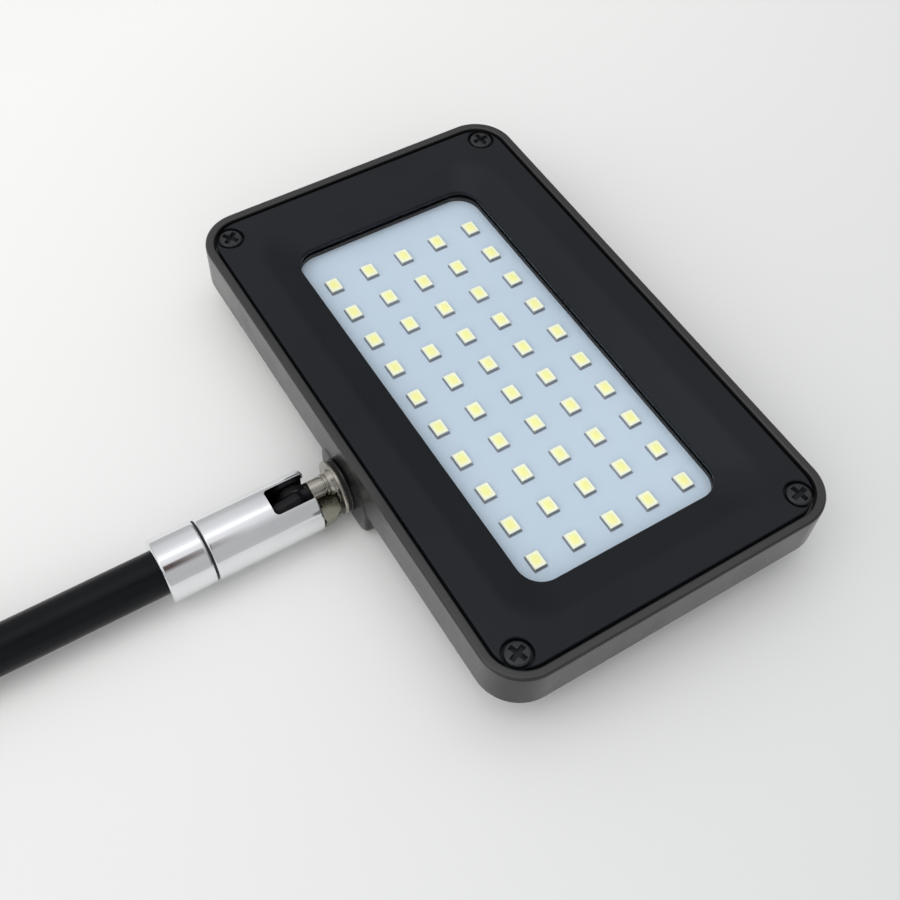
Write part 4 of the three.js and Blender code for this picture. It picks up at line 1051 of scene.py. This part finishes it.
# ------------------------------------------------------------------ table, light, camera
def floor():
    bm = bmesh.new()
    s = 12.0
    bmesh.ops.create_grid(bm, x_segments=8, y_segments=8, size=s)
    me = bpy.data.meshes.new("table_top")
    bm.to_mesh(me)
    bm.free()
    ob = bpy.data.objects.new("table_top", me)
    ob.location = (0, 0, -0.0001)
    bpy.context.scene.collection.objects.link(ob)
    mat = bpy.data.materials.new("table_white")
    nt, out = nodes_of(mat)
    bs = N(nt, "ShaderNodeBsdfPrincipled")
    vec = coords(nt)
    cloud = ramp(nt, noise(nt, vec, 2.2, 2.0), [(0.3, (0.905, 0.908, 0.888)), (0.7, (0.925, 0.927, 0.912))])
    # painted shade: the albedo fades from the cloudy white to grey across 0.32 m towards +X-Y, standing in for light
    # falling off across the table
    sp = N(nt, "ShaderNodeVectorMath", operation="DOT_PRODUCT")
    sp.inputs[1].default_value = (0.30, -0.954, 0.0)
    nt.links.new(vec, sp.inputs[0])
    col = mixcol(nt, mapr(nt, sp.outputs["Value"], 0.0, 1.0, -0.16, 0.16), cloud, (0.665, 0.672, 0.676))
    nt.links.new(col, bs.inputs["Base Color"])
    bs.inputs["Roughness"].default_value = 0.55
    bs.inputs["Specular IOR Level"].default_value = 0.3
    nt.links.new(bs.outputs[0], out.inputs["Surface"])
    me.materials.append(mat)
    # the table stays under the lowest point of the light when the head is turned
    lo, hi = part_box("rear_housing")
    marks = []
    for i, c in enumerate([(x, y, z) for x in (lo.x, hi.x) for y in (lo.y, hi.y) for z in (lo.z, hi.z)]):
        e = bpy.data.objects.new("table_mark_%d" % i, None)
        e.location = (c[0], c[1], c[2] - 0.0001)
        bpy.context.scene.collection.objects.link(e)
        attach(e, "head")
        marks.append(e)
    e = bpy.data.objects.new("table_mark_rest", None)
    e.location = (0, 0, -0.0001)
    bpy.context.scene.collection.objects.link(e)
    marks.append(e)
    d = ob.driver_add("location", 2).driver
    d.type = "MIN"
    for i, e in enumerate(marks):
        v = d.variables.new()
        v.name = "m%d" % i
        v.type = "TRANSFORMS"
        v.targets[0].id = e
        v.targets[0].transform_type = "LOC_Z"
        v.targets[0].transform_space = "WORLD_SPACE"


floor()


def area(name, loc, target, size, energy, color=(1, 1, 1), size_y=None):
    li = bpy.data.lights.new(name, "AREA")
    li.energy = energy
    li.color = color
    li.size = size
    if size_y:
        li.shape = "RECTANGLE"
        li.size_y = size_y
    ob = bpy.data.objects.new(name, li)
    ob.location = loc
    d = Vector(target) - Vector(loc)
    ob.rotation_euler = d.to_track_quat("-Z", "Y").to_euler()
    ob.visible_glossy = False
    bpy.context.scene.collection.objects.link(ob)


area("overhead", (-0.05, 0.16, 1.60), (0.0, 0.0, 0.0), 2.0, 4.65, (1.0, 0.99, 0.97), 1.3)
area("side", (-1.10, 0.00, 0.70), (-0.08, 0, 0), 1.5, 5.8, (1.0, 0.99, 0.955))
area("fill", (-0.60, -1.05, 0.70), (-0.08, 0, 0), 1.5, 6.6, (1.0, 1.0, 0.985))


def sky():
    world = bpy.data.worlds.new("studio")
    bpy.context.scene.world = world
    world.use_nodes = True
    wn = world.node_tree
    wn.nodes.clear()
    out = wn.nodes.new("ShaderNodeOutputWorld")
    bg = wn.nodes.new("ShaderNodeBackground")
    tc = wn.nodes.new("ShaderNodeTexCoord")
    sp = wn.nodes.new("ShaderNodeSeparateXYZ")
    wn.links.new(tc.outputs["Generated"], sp.inputs[0])
    # brightness by the angle round the arm: dim walls, bright ceiling, a lamp panel just beyond straight up
    yz = wn.nodes.new("ShaderNodeMath")
    yz.operation = "ARCTAN2"
    wn.links.new(sp.outputs["Y"], yz.inputs[0])
    wn.links.new(sp.outputs["Z"], yz.inputs[1])
    t = mapr(wn, yz.outputs[0], 0.0, 1.0, math.radians(-90), math.radians(90))
    levels = [(-90, .54), (-75, .50), (-43, .51), (-31, .64), (-20, .80), (-8, .88), (-1, 1.0), (4, 1.28), (12, 1.28), (17, 1.02),
              (22, .92), (32, .79), (43, .735), (55, .68), (67, .57), (80, .52), (90, .55)]
    up = ramp(wn, t, [((a + 90) / 180.0, (v * 0.995, v, v * 1.015)) for a, v in levels])
    # dimmer towards the right, where the room has no window
    side = mapr(wn, sp.outputs["X"], 1.0, 0.56, 0.15, 0.60)
    vm = wn.nodes.new("ShaderNodeVectorMath")
    vm.operation = "SCALE"
    wn.links.new(up, vm.inputs[0])
    wn.links.new(side, vm.inputs["Scale"])
    # something dark and reddish standing beside the table, seen only as a streak in the chrome collar
    def band(sock, lo0, lo1, hi0, hi1):
        a = mapr(wn, sock, 0.0, 1.0, lo0, lo1)
        b = mapr(wn, sock, 1.0, 0.0, hi0, hi1)
        m = wn.nodes.new("ShaderNodeMath")
        m.operation = "MULTIPLY"
        wn.links.new(a, m.inputs[0])
        wn.links.new(b, m.inputs[1])
        return m.outputs[0]
    pm = wn.nodes.new("ShaderNodeMath")
    pm.operation = "MULTIPLY"
    wn.links.new(band(yz.outputs[0], math.radians(-45), math.radians(-33), math.radians(-22), math.radians(-16)), pm.inputs[0])
    wn.links.new(band(sp.outputs["X"], -0.20, -0.10, 0.075, 0.145), pm.inputs[1])
    lit = mixcol(wn, pm.outputs[0], vm.outputs[0], (0.055, 0.026, 0.020))
    wn.links.new(lit, bg.inputs["Color"])
    bg.inputs["Strength"].default_value = 1.0
    wn.links.new(bg.outputs[0], out.inputs["Surface"])


sky()

cam = bpy.data.cameras.new("photo_camera")
cam.lens = 47.5655
cam.sensor_width = 36.0
cam.clip_start = 0.01
cam.clip_end = 50
co = bpy.data.objects.new("photo_camera", cam)
X = Vector((0.85069413, -0.52429367, 0.03789014))
Y = Vector((0.41649242, 0.71624666, 0.55993285))
Z = Vector((-0.32070793, -0.46055063, 0.82767115))
R = Matrix((X, Y, Z)).transposed().to_4x4()
co.matrix_world = Matrix.Translation(Vector((-96.669, -124.058, 214.449)) * MM) @ R
bpy.context.scene.collection.objects.link(co)
bpy.context.scene.camera = co
bpy.context.scene.view_settings.view_transform = "Standard"
